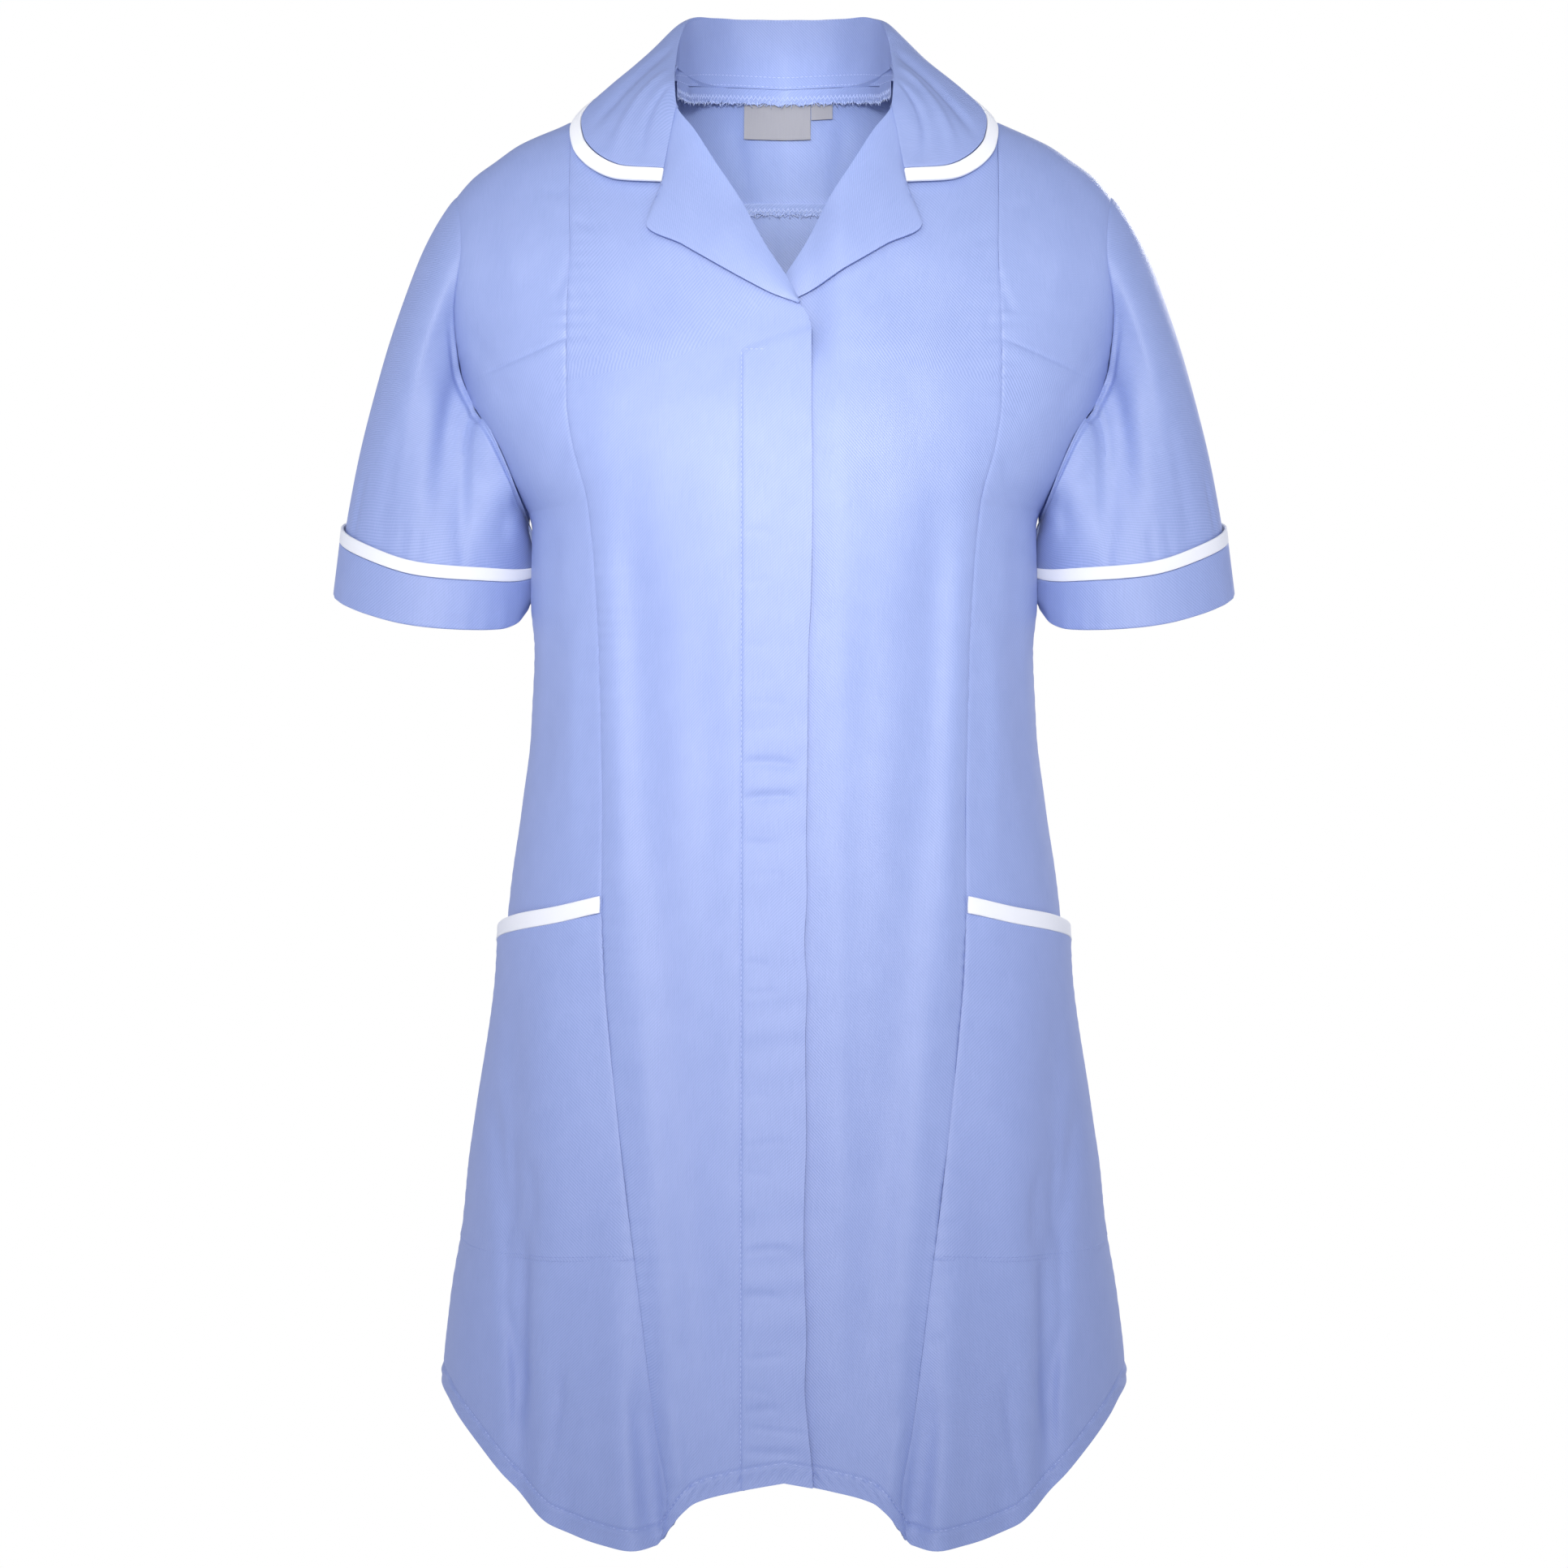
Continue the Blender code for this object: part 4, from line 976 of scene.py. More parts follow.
def sewing(name, line, normals, material=THREAD_FINISH, turned_over=False, thread=STITCH):
    """A row of stitches along a line, turned by slant to alternate sides, uneven in length and slant."""
    if turned_over:
        line, normals = line * (-1, 1, 1), normals * (-1, 1, 1)
    run = run_along(line)
    middles = (np.arange(int(run[-1] / thread.pitch)) + 0.5) * thread.pitch
    wander = 1 + thread.uneven * np.sin(np.arange(len(middles)) * UNEVEN_STEP)

    def at(where, values):
        return np.stack([np.interp(where, run, values[:, i]) for i in range(3)], axis=-1)

    centres = at(middles, line) - at(middles, normals) * STITCH_SUNK
    ways = unit(at(middles + thread.length / 2, line) - at(middles - thread.length / 2, line))
    ups = unit(at(middles, normals))
    mesh = bmesh.new()
    for i, (centre, way, up) in enumerate(zip(centres, ways, ups)):
        lean = (thread.slant if i % 2 else -thread.slant) * wander[i - 1]
        side = np.cross(up, way)
        way = way * math.cos(lean) + side * math.sin(lean)
        side = np.cross(up, way)
        stitch = np.eye(4)
        stitch[:3, 0] = way * wander[i] * thread.length / 2
        stitch[:3, 1] = side * STITCH_RADIUS
        stitch[:3, 2] = up * STITCH_RADIUS
        stitch[:3, 3] = centre
        bmesh.ops.create_icosphere(mesh, subdivisions=1, radius=1, matrix=Matrix(stitch.tolist()))
    bmesh.ops.recalc_face_normals(mesh, faces=mesh.faces[:])
    data = bpy.data.meshes.new(name)
    mesh.to_mesh(data)
    mesh.free()
    data.shade_smooth()
    data.materials.append(material)
    made = added(name, data)
    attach(made, "root")
    return made


def sewn_on(name, skin, across, height, turned_over=False):
    """Sewing along a line of a skin that is given by across and height."""
    line = skin(across, height)
    face = FRONT if line[:, 1].mean() < 0 else BACK
    return sewing(name, line, normal_at(across, height, face), turned_over=turned_over)


def hem_line(start, end, face):
    """Where the hem is sewn, from one place across to another."""
    across = np.linspace(start, end, SEWN_LINE_STEPS)
    return across, hem_height(across, face) + HEM_BAND


# Cuts: the flat size and area of what shows of each piece, with {} for the side

Sheet = namedtuple("Sheet", "piece nodes slot width length area rests_on held")
SHEETS = rows_of(
    Sheet,
    (
        "front_right_cloth", "front_right placket", "cloth", 0.160, 0.80, 0.0933,
        "side_front_right_cloth", "hung",
    ),
    ("front_left_cloth", "front_left", "cloth", 0.160, 0.80, 0.0918, "side_front_left_cloth", "hung"),
    ("side_front_{}_cloth", "side_front_{}", "cloth", 0.190, 0.80, 0.0986, "back_panel_cloth", "hung"),
    ("back_panel_cloth", "back_panel", "cloth", 0.500, 0.78, 0.3225, "back_yoke_cloth", "hung"),
    ("back_yoke_cloth", "back_yoke", "cloth", 0.400, 0.14, 0.0351, "front_left_cloth", "hung"),
    ("rever_{}_cloth", "rever_{}", "cloth", 0.080, 0.13, 0.0044, "front_{}_cloth", "folded"),
    ("collar_fall_cloth", "collar_fall", "cloth", 0.500, 0.085, 0.0257, "collar_stand_cloth", "folded"),
    ("collar_trim_binding", "collar_trim", "trim", 0.620, 0.0105, 0.0063, "collar_fall_cloth", "folded"),
    ("collar_stand_cloth", "collar_stand", "cloth", 0.260, 0.035, 0.0063, "back_yoke_cloth", "hung"),
    ("sleeve_{}_cloth", "sleeve_{}", "cloth", 0.400, 0.17, 0.0369, "side_front_{}_cloth", "hung"),
    ("cuff_{}_cloth", "cuff_{}", "cloth", 0.360, 0.030, 0.0097, "sleeve_{}_cloth", "folded"),
    ("cuff_{}_binding", "cuff_trim_{}", "trim", 0.360, 0.0105, 0.0029, "cuff_{}_cloth", "folded"),
    ("pocket_{}_cloth", "pocket_{}", "cloth", 0.170, 0.20, 0.0293, "side_front_{}_cloth", "laid"),
    ("pocket_{}_binding", "pocket_trim_{}", "trim", 0.170, 0.0105, 0.0014, "pocket_{}_cloth", "folded"),
    ("neck_label_cloth", "neck_label", "label", 0.0415, 0.0215, None, "back_yoke_cloth", "hung"),
    ("size_label_cloth", "size_label", "label", 0.0135, 0.0102, None, "back_yoke_cloth", "hung"),
)
SHEET_OF = {
    row.piece.format(side): row._replace(nodes=row.nodes.format(side), rests_on=row.rests_on.format(side))
    for row in SHEETS
    for side in ("left", "right")
}


def stands_for(piece, *sewn):
    """Attaches a cloth piece to the root and hides the solids that its cut names; what is sewn to it is
    passed in but not used.
    """
    cut = SHEET_OF[piece.name]
    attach(piece, "root")
    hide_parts(*cut.nodes.split())


# Fronts

LEFT_CREASE_SHIFT = 0.0090
SIDES = (("right", 0.0, True), ("left", LEFT_CREASE_SHIFT, False))
RIGHT_FRONT_STEP = 0.0016
RIGHT_FRONT_COLUMNS = 28
LEFT_FRONT_STEP = 0.0026
LEFT_FRONT_COLUMNS = 56
SIDE_FRONT_STEP = 0.0028
SIDE_FRONT_COLUMNS = 92
RIGHT_HEM_SEWN = (-0.0130, 0.0690)
LEFT_HEM_SEWN = (0.0165, 0.0690)
SIDE_HEM_SEWN = (0.0715, 0.180)
PLACKET_SOFT = 0.0008
PLACKET_SHARE = 0.26
PLACKET_COLUMNS = 26
PLACKET_CREASE_DEPTH = 1.35
PLACKET_SWELL = 0.00032
PLACKET_SWELL_FROM = (-0.28, -0.42)
PLACKET_SWELL_TIGHTNESS = 230
PLACKET_SWELL_WANDER = Wave(1.9, 47, 0)
PLACKET_SWELL_SLANT = 30
PLACKET_SEWN_FROM = -0.7740
PLACKET_SEWN_STEPS = 400
PLACKET_BAR_FROM = 0.0110
PLACKET_BAR_HEIGHT = -0.1630
PLACKET_BAR_STEPS = 60


def above_hem(across, height, face):
    return height - hem_height(across, face)


def hemmed(across, height, face, thickness=CLOTH):
    """A panel's thickness, which is more where its hem is turned under."""
    turned = below(HEM_BAND, HEM_GROOVE_SOFT, above_hem(across, height, face))
    return thickness + (HEM_THICKNESS - CLOTH) * turned


def front_relief(across, height, shift=0.0):
    away = princess_line(height) - across
    return (
        creases(FRONT_CREASES, across, height + shift)
        + ripple(across + shift, height, RIPPLE)
        + seam_roll(away)
        + pucker(height + shift, away)
        + hem_relief(above_hem(across, height, FRONT), across)
    )


def in_placket(across, height):
    share = (PLACKET_STITCH - across) / (PLACKET_STITCH - BREAK_POINT.across)
    top = mix(PLACKET_TOP, BREAK_POINT.height, share)
    return below(PLACKET_STITCH, PLACKET_SOFT, across) * below(top, PLACKET_SOFT, height)


def right_relief(across, height):
    inside = in_placket(across, height)
    groove = bump(across - PLACKET_STITCH, PLACKET_SOFT) * below(PLACKET_TOP, PLACKET_SOFT, height)
    wander = wave(PLACKET_SWELL_WANDER, height)
    swell = np.sin(height * PLACKET_SWELL_TIGHTNESS + wander + across * PLACKET_SWELL_SLANT)
    swell = PLACKET_SWELL * swell * ease(*PLACKET_SWELL_FROM, height)
    puckers = PLACKET_CREASE_DEPTH * creases(PLACKET_CREASES, across, height) + swell
    return front_relief(across, height) + PLACKET_LIFT * inside - PLACKET_GROOVE * groove + puckers * inside


def left_relief(across, height):
    return front_relief(across, height, LEFT_CREASE_SHIFT) - underlap_drop(across, height)


def princess_edge(side):
    return line_edge(lambda height: princess_line(height) + side * SEAM / 2, front_level)


def right_edge_line(height):
    return np.where(height < BREAK_POINT.height, read(FRONT_EDGE, height), roll_line(height))


def left_edge_line(height):
    return np.where(height < BREAK_POINT.height, LEFT_FRONT_EDGE, roll_line(height))


def front_grid(edge_line, columns, step, placket=False):
    """Rows and columns of a front, with a column on the placket's stitch line where there is one."""
    inner, princess = line_edge(edge_line, front_level), princess_edge(-1)

    def middle(row):
        return on_form(*straight_between(inner, princess, front_level, 0.5, row), FRONT)

    rows, columns = rows_and_columns(closer_at_hem(evenly(-1, 1, step, middle)), columns)
    if not placket:
        return straight_between(inner, princess, front_level, columns, rows)
    start, end = inner(rows)[0], princess(rows)[0]
    knot = np.maximum(PLACKET_STITCH, mix(start, end, PLACKET_SHARE))
    strip = mix(start, knot, columns / PLACKET_SHARE)
    rest = mix(knot, end, (columns - PLACKET_SHARE) / (1 - PLACKET_SHARE))
    across = np.where(columns < PLACKET_SHARE, strip, rest)
    return across, front_level(rows, across)


def fronts():
    close = PLACKET_SHARE * closer_at_seams(np.linspace(0, 1, PLACKET_COLUMNS))
    wide = mix(PLACKET_SHARE, 1, closer_at_seams(np.linspace(0, 1, RIGHT_FRONT_COLUMNS)))
    columns = np.unique(np.round(np.concatenate((close, wide)), ROW_DIGITS))
    across, height = front_grid(right_edge_line, columns, RIGHT_FRONT_STEP, placket=True)
    thickness = hemmed(across, height, FRONT, mix(CLOTH, PLACKET_CLOTH, in_placket(across, height)))
    skin = skin_of(right_relief, FRONT)
    right = shell("front_right_cloth", skin(across, height), thickness, turned_over=True)
    height = np.linspace(PLACKET_SEWN_FROM, PLACKET_TOP, PLACKET_SEWN_STEPS)
    bar = np.linspace(PLACKET_BAR_FROM, PLACKET_STITCH, PLACKET_BAR_STEPS)
    stands_for(
        right,
        sewn_on("placket_stitching", skin, np.full_like(height, PLACKET_STITCH), height, True),
        sewn_on("front_right_hem_stitching", skin, *hem_line(*RIGHT_HEM_SEWN, FRONT), True),
        sewn_on("placket_bar", skin, bar, np.full_like(bar, PLACKET_BAR_HEIGHT), True),
    )
    columns = closer_at_seams(np.linspace(0, 1, LEFT_FRONT_COLUMNS), start=False)
    across, height = front_grid(left_edge_line, columns, LEFT_FRONT_STEP)
    skin = skin_of(left_relief, FRONT)
    left = shell("front_left_cloth", skin(across, height), hemmed(across, height, FRONT))
    stands_for(left, sewn_on("front_left_hem_stitching", skin, *hem_line(*LEFT_HEM_SEWN, FRONT)))


def side_relief(across, height, shift=0.0):
    from_princess = across - princess_line(height)
    from_side = side_line(height) - across
    return (
        creases(SIDE_FRONT_CREASES, across, height + shift)
        + crease(DART, across, height)
        + crease(DART_PUFF, across, height)
        + ripple(across - shift, height, RIPPLE)
        + seam_roll(from_princess)
        + pucker(height - shift, from_princess)
        + SIDE_SEAM_SHARE * (seam_roll(from_side) + pucker(height + shift, from_side))
        + hem_relief(above_hem(across, height, FRONT), across)
    )


def side_fronts():
    princess = princess_edge(1)
    side = line_edge(side_line, front_level)

    def middle(row):
        return on_form(*round_between(princess, side, front_level, 0.5, row), FRONT)

    rows = closer_at_hem(evenly(-1, 1, SIDE_FRONT_STEP, middle), DART_ROWS)
    rows, columns = rows_and_columns(rows, closer_at_seams(np.linspace(0, 1, SIDE_FRONT_COLUMNS)))
    across, height = round_between(princess, side, front_level, columns, rows)
    thickness = hemmed(across, height, FRONT)
    hem = hem_line(*SIDE_HEM_SEWN, FRONT)
    for name, shift, turned_over in SIDES:
        skin = skin_of(side_relief, FRONT, shift)
        piece = f"side_front_{name}"
        made = shell(f"{piece}_cloth", skin(across, height), thickness, turned_over=turned_over)
        stands_for(made, sewn_on(f"{piece}_hem_stitching", skin, *hem, turned_over))


# Back

BACK_STEP = 0.0039
BACK_COLUMNS = 166
BACK_STEP_AT = 0.4
BACK_HEM_SEWN = (-0.180, 0.180)
BACK_RIPPLE_SHIFT = 0.31
YOKE_ROWS = 34
YOKE_COLUMNS = 150
YOKE_SEWN = (-0.180, 0.180)
YOKE_SEWN_UP = 0.0045


def back_relief(across, height):
    from_side = side_line(height) - np.abs(across)
    from_yoke = yoke_seam(across) - height
    return (
        creases(BACK_CREASES, across, height)
        + ripple(across, height + BACK_RIPPLE_SHIFT, RIPPLE)
        + SIDE_SEAM_SHARE * (seam_roll(from_side) + pucker(height, from_side))
        + seam_roll(from_yoke)
        + pucker(across, from_yoke)
        + hem_relief(above_hem(across, height, BACK), across)
    )


def back_panel():
    side = line_edge(side_line, back_level)

    def grid(share, row):
        reach, height = side(row)
        return settled(turn(reach, height) * share, height, back_level, row)

    rows = closer_at_hem(evenly(-1, 1, BACK_STEP, lambda row: on_form(*grid(BACK_STEP_AT, row), BACK)))
    rows, columns = rows_and_columns(rows, 2 * closer_at_seams(np.linspace(0, 1, BACK_COLUMNS)) - 1)
    across, height = grid(columns, rows)
    skin = skin_of(back_relief, BACK)
    made = shell("back_panel_cloth", skin(across, height), hemmed(across, height, BACK))
    stands_for(made, sewn_on("back_hem_stitching", skin, *hem_line(*BACK_HEM_SEWN, BACK)))


def yoke_relief(across, height):
    from_seam = height - yoke_seam(across)
    wear = creases(YOKE_CREASES, across, height) + ripple(across, height, RIPPLE)
    return wear + seam_roll(from_seam) + pucker(across, from_seam)


# Seam allowances that show inside the back neck, each with its overlocked and fraying edge
Strip = namedtuple("Strip", "reach top foot")
YOKE_ALLOWANCE = Strip(0.150, 0.0030, -0.0042)
NECK_ALLOWANCE = Strip(0.60, -0.0002, -0.0093)
YOKE_ALLOWANCE_OFF = 0.0007
ALLOWANCE_CLOTH = 0.0004
ALLOWANCE_RIM = 0.0001
ALLOWANCE_COLUMNS = 140
ALLOWANCE_ROWS = 6
OVERLOCK_LEVEL = 0.62
RAGGED = 0.0005
RAGGED_SLOW = Wave(1, 47, 0)
RAGGED_FAST = Wave(1, 113, 1)


def allowance(name, strip, place):
    """A strip of turned-in cloth below a seam, with a row of overlock and some loose threads."""
    reach, top, foot = strip
    along, drop = laid_out(np.linspace(-reach, reach, ALLOWANCE_COLUMNS), ALLOWANCE_ROWS)
    ragged = RAGGED * (wave(RAGGED_SLOW, along / reach) + wave(RAGGED_FAST, along / reach))
    points = place(along, mix(top, foot + ragged, drop), 0.0)[0]
    made = [shell(f"{name}_allowance", points, ALLOWANCE_CLOTH, rim=ALLOWANCE_RIM)]
    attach(made[0], "root")
    along = np.linspace(-reach, reach, SEWN_LINE_STEPS)
    for kind, level, thread in (("overlock", mix(top, foot, OVERLOCK_LEVEL), OVERLOCK), ("fray", foot, FRAY)):
        line, inwards = place(along, np.full_like(along, level), ALLOWANCE_CLOTH)
        made.append(sewing(f"{name}_{kind}", line, inwards, thread=thread))
    return made


def inside_yoke_seam(across, below_seam, off):
    """Places and inward normals on the hidden side of the back, measured from the yoke seam."""
    height = yoke_seam(across) + below_seam
    return on_form(across, height, BACK, -CLOTH - YOKE_ALLOWANCE_OFF - off), -normal_at(across, height, BACK)


def back_yoke():
    """From the yoke seam up to the neck seam and, outside the side neck, the shoulder line."""
    widest = ARMHOLE[-1].across

    def top(across):
        side = shoulder_line(SIDE_NECK)
        neck = mix(side - YOKE_NECK_DIP, side, (across / SIDE_NECK) ** YOKE_NECK_CURVE)
        return np.where(np.abs(across) >= SIDE_NECK, shoulder_line(across), neck)

    def grid(column, row):
        across = column
        pull = (np.abs(column) / widest) ** YOKE_INSET_CURVE
        for _ in range(SETTLING_STEPS):
            height = mix(yoke_seam(across) + HALF_SEAM, top(across), 1 - (1 - row) ** YOKE_CURVE)
            inset = (widest - read(ARMHOLE, height)) * pull
            across = column - np.sign(column) * inset
        return across, height

    rows, columns = rows_and_columns(np.linspace(0, 1, YOKE_ROWS), np.linspace(-widest, widest, YOKE_COLUMNS))
    across, height = grid(columns, rows)
    skin = skin_of(yoke_relief, BACK)
    made = shell("back_yoke_cloth", skin(across, height), CLOTH)
    across = np.linspace(*YOKE_SEWN, SEWN_LINE_STEPS)
    stands_for(
        made,
        sewn_on("yoke_stitching", skin, across, yoke_seam(across) + YOKE_SEWN_UP),
        *allowance("yoke_seam", YOKE_ALLOWANCE, inside_yoke_seam),
    )


# Reverses

REVER_TIP = -0.1365
REVER_OVERHANG = 0.0008
REVER_ROLL_LIFT = 0.0018
REVER_PUFF = 0.0012
REVER_COLUMNS = 34
REVER_ROWS = 74
ReverPoint = namedtuple("ReverPoint", "along across height lift")
REVER_EDGE = rows_of(
    ReverPoint,
    (0.00, -0.0080, -0.1372, 0.0019),
    (0.14, 0.0072, -0.1315, 0.0030),
    (0.27, 0.0185, -0.1257, 0.0036),
    (0.48, 0.0403, -0.1128, 0.0040),
    (0.64, 0.0568, -0.1025, 0.0036),
    (0.82, 0.0772, -0.0900, 0.0032),
    (0.90, 0.0732, -0.0765, 0.0028),
    (0.95, 0.0704, -0.0718, 0.0026),
    (1.00, 0.0693, -0.0638, 0.0026),
)


def revers():
    share, along = laid_out(REVER_COLUMNS, REVER_ROWS)
    roll_height = mix(REVER_TIP, GORGE_POINT.height, along) + SEAM / 2
    across = mix(roll_line(roll_height) - REVER_OVERHANG, read(REVER_EDGE, along, "across"), share)
    height = mix(roll_height, read(REVER_EDGE, along, "height"), share)
    off = mix(REVER_ROLL_LIFT, read(REVER_EDGE, along, "lift"), share) + REVER_PUFF * np.sin(np.pi * share)
    for name, shift, turned_over in SIDES:
        drop = 0.0 if turned_over else underlap_drop(across, height)
        points = on_form(across, height, FRONT, off + ripple(across + shift, height, RIPPLE) - drop)
        stands_for(shell(f"rever_{name}_cloth", points, CLOTH, turned_over=turned_over))


# Collar

CollarStation = namedtuple(
    "CollarStation",
    "along roll_across roll_depth roll_height seam_across seam_depth seam_height"
    " edge_across edge_depth edge_height",
)
COLLAR = rows_of(
    CollarStation,
    (0.00, 0.0000, 0.0720, 0.0543, 0.0000, 0.0700, 0.0120, 0.0000, 0.0790, -0.0100),
    (0.12, 0.0250, 0.0680, 0.0541, 0.0240, 0.0615, 0.0125, 0.0380, 0.0665, -0.0115),
    (0.24, 0.0450, 0.0530, 0.0524, 0.0410, 0.0480, 0.0130, 0.0720, 0.0500, -0.0130),
    (0.36, 0.0570, 0.0350, 0.0468, 0.0525, 0.0320, 0.0140, 0.0960, 0.0360, -0.0125),
    (0.46, 0.0610, 0.0200, 0.0380, 0.0585, 0.0180, 0.0150, 0.1005, 0.0160, -0.0070),
    (0.55, 0.0632, 0.0070, 0.0270, 0.0610, 0.0050, 0.0155, 0.1115, -0.0040, -0.0108),
    (0.64, 0.0643, -0.0080, 0.0150, 0.0616, -0.0100, 0.0115, 0.1234, -0.0262, -0.0285),
    (0.73, 0.0646, -0.0190, 0.0065, 0.0622, -0.0185, 0.0060, 0.1212, -0.0378, -0.0404),
    (0.82, 0.0640, -0.0285, -0.0005, 0.0640, -0.0270, -0.0015, 0.1125, -0.0480, -0.0520),
    (0.91, 0.0630, -0.0355, -0.0085, 0.0630, -0.0330, -0.0090, 0.0950, -0.0580, -0.0608),
    (1.00, 0.0616, -0.0412, -0.0165, 0.0618, -0.0385, -0.0170, 0.0693, -0.0640, -0.0630),
)
COLLAR_COLUMNS = 221
COLLAR_CENTRE_ROUND = 0.03
COLLAR_TRIM_WIDTH = 0.0082
COLLAR_ROLL_REACH = 0.0095
COLLAR_ROLL_RISE = 0.0030
COLLAR_FULLNESS = 0.04
COLLAR_INSET = 0.0020
COLLAR_FLAT_END = 6
COLLAR_FLAT_REACH = 0.3
COLLAR_LOWER_REACH = 0.35
COLLAR_TRIM_GAP = 0.006
COLLAR_HALF_LENGTH = 0.3
COLLAR_DEPTH = 0.08
COLLAR_RIPPLE = 0.0002
COLLAR_FOLD_DEPTH = 0.4
COLLAR_FOLD_ENDS = (-0.25, 0.25, 1.25, 0.75)
COLLAR_TRIM_PUFF = 0.0002
COLLAR_TRIM_RIM = 0.0007
COLLAR_TRIM_ROWS = 7
FALL_ROWS = 30
FALL_EASED_ROLL = (0.0, 0.2)
FALL_EASED_EDGE = (1.0, 0.8)
FALL_EDGE_RELIEF = 0.35
STAND_REACH = 0.60
STAND_TOP_ROOM = 0.0010
STAND_FOOT_ROOM = 0.0007
STAND_CLOTH = 0.0018
STAND_COLUMNS = 121
STAND_ROWS = 29
STAND_STITCHES = (("stand_foot_stitching", 1), ("stand_upper_stitching", 5))
NECK_TUCK = 0.0095
NECK_TUCK_AT = 0.46
NECK_LOWER = 0.0011
NECK_FLARE = 0.0036
NECK_FLARE_FROM = (0.46, 0.60)
NECK_INSET = 0.0022
NECK_INSET_FROM = (0.36, 0.12)
NECK_ALLOWANCE_OFF = 0.0010
UP = np.array((0.0, 0.0, 1.0))
BELOW_COLLAR = np.array((0.0, 0.0, -0.08))
INSIDE_STAND = np.array((0, 0, 0.03))

# Soft folds of the fall, from a place along and down it to another, in shares of the collar
CollarFold = namedtuple("CollarFold", "along share to_along to_share spread lift")
COLLAR_FOLDS = rows_of(
    CollarFold,
    (0.60, 0.05, 0.76, 0.80, 0.024, -0.0022),
    (0.70, 0.10, 0.88, 0.85, 0.020, 0.0014),
    (0.82, 0.10, 0.96, 0.80, 0.015, -0.0015),
    (-0.58, 0.10, -0.73, 0.75, 0.026, -0.0020),
    (-0.72, 0.12, -0.88, 0.85, 0.020, 0.0015),
    (-0.84, 0.10, -0.95, 0.80, 0.015, -0.0013),
    (0.30, 0.20, 0.36, 0.95, 0.040, -0.0010),
    (-0.22, 0.20, -0.30, 0.95, 0.045, -0.0011),
)


def collar_point(kind, along):
    """The roll edge, neck seam or outer edge, at places from -1, the right gorge, to 1."""
    across = np.sign(along) * read(COLLAR, np.abs(along), f"{kind}_across")
    rounded = np.hypot(along, COLLAR_CENTRE_ROUND) - COLLAR_CENTRE_ROUND * (1 - np.abs(along))
    depth, height = (read(COLLAR, rounded, f"{kind}_{column}") for column in ("depth", "height"))
    return places(across, depth, height)


def outwards(along):
    """Level, away from the middle of the neck."""
    return unit(collar_point("roll", along) * (1, 1, 0))


def fall_surface(along, share):
    """The collar's turned-down part: over the roll and out to its edge."""
    roll, edge = collar_point("roll", along), collar_point("edge", along)
    out = outwards(along)
    flat = (np.abs(along) ** COLLAR_FLAT_END)[..., None]
    length = np.linalg.norm(edge - roll, axis=-1, keepdims=True)
    start = roll - out * COLLAR_INSET * (1 - flat)
    over = roll + (out * COLLAR_ROLL_REACH + UP * COLLAR_ROLL_RISE) * (1 - flat)
    over = over + (edge - roll) * COLLAR_FLAT_REACH * flat
    full = edge + (roll - edge) * COLLAR_LOWER_REACH + (UP + out) * length * COLLAR_FULLNESS * (1 - flat)
    return curve(start, over, full, edge, share)


def collar_relief(along, share):
    total = 0.0
    for fold in COLLAR_FOLDS:
        place, off = beside_line(
            along - fold.along,
            (share - fold.share) * COLLAR_FOLD_DEPTH,
            fold.to_along - fold.along,
            (fold.to_share - fold.share) * COLLAR_FOLD_DEPTH,
        )
        total = total + fold.lift * run_out(COLLAR_FOLD_ENDS, place) * bump(off, fold.spread)
    return total


def trim_share(along):
    gap = collar_point("edge", along) - collar_point("roll", along)
    return 1 - COLLAR_TRIM_WIDTH / np.linalg.norm(gap, axis=-1)


def raised(points, lift, middle):
    """A grid of points moved out along its own normals."""
    return points + grid_normals(points, False, middle) * np.asarray(lift)[..., None]


def neck_foot(along):
    """The stand's lower edge, tucked into the neck towards the shoulders."""
    reach = np.abs(along)
    tuck = NECK_LOWER + NECK_TUCK * np.minimum(reach / NECK_TUCK_AT, 1) ** 2
    flare = NECK_FLARE * ease(*NECK_FLARE_FROM, reach) - NECK_INSET * ease(*NECK_INSET_FROM, reach)
    foot = collar_point("seam", along) + UP * (STAND_FOOT_ROOM - tuck)[..., None]
    return foot + outwards(along) * flare[..., None]


def inside_neck(along, below_foot, off):
    """Places and inward directions on the hidden side of the neck, measured from the stand's foot."""
    inwards = -outwards(along)
    place = neck_foot(along) + inwards * (STAND_CLOTH + NECK_ALLOWANCE_OFF + off)
    return place + UP * below_foot[..., None], inwards


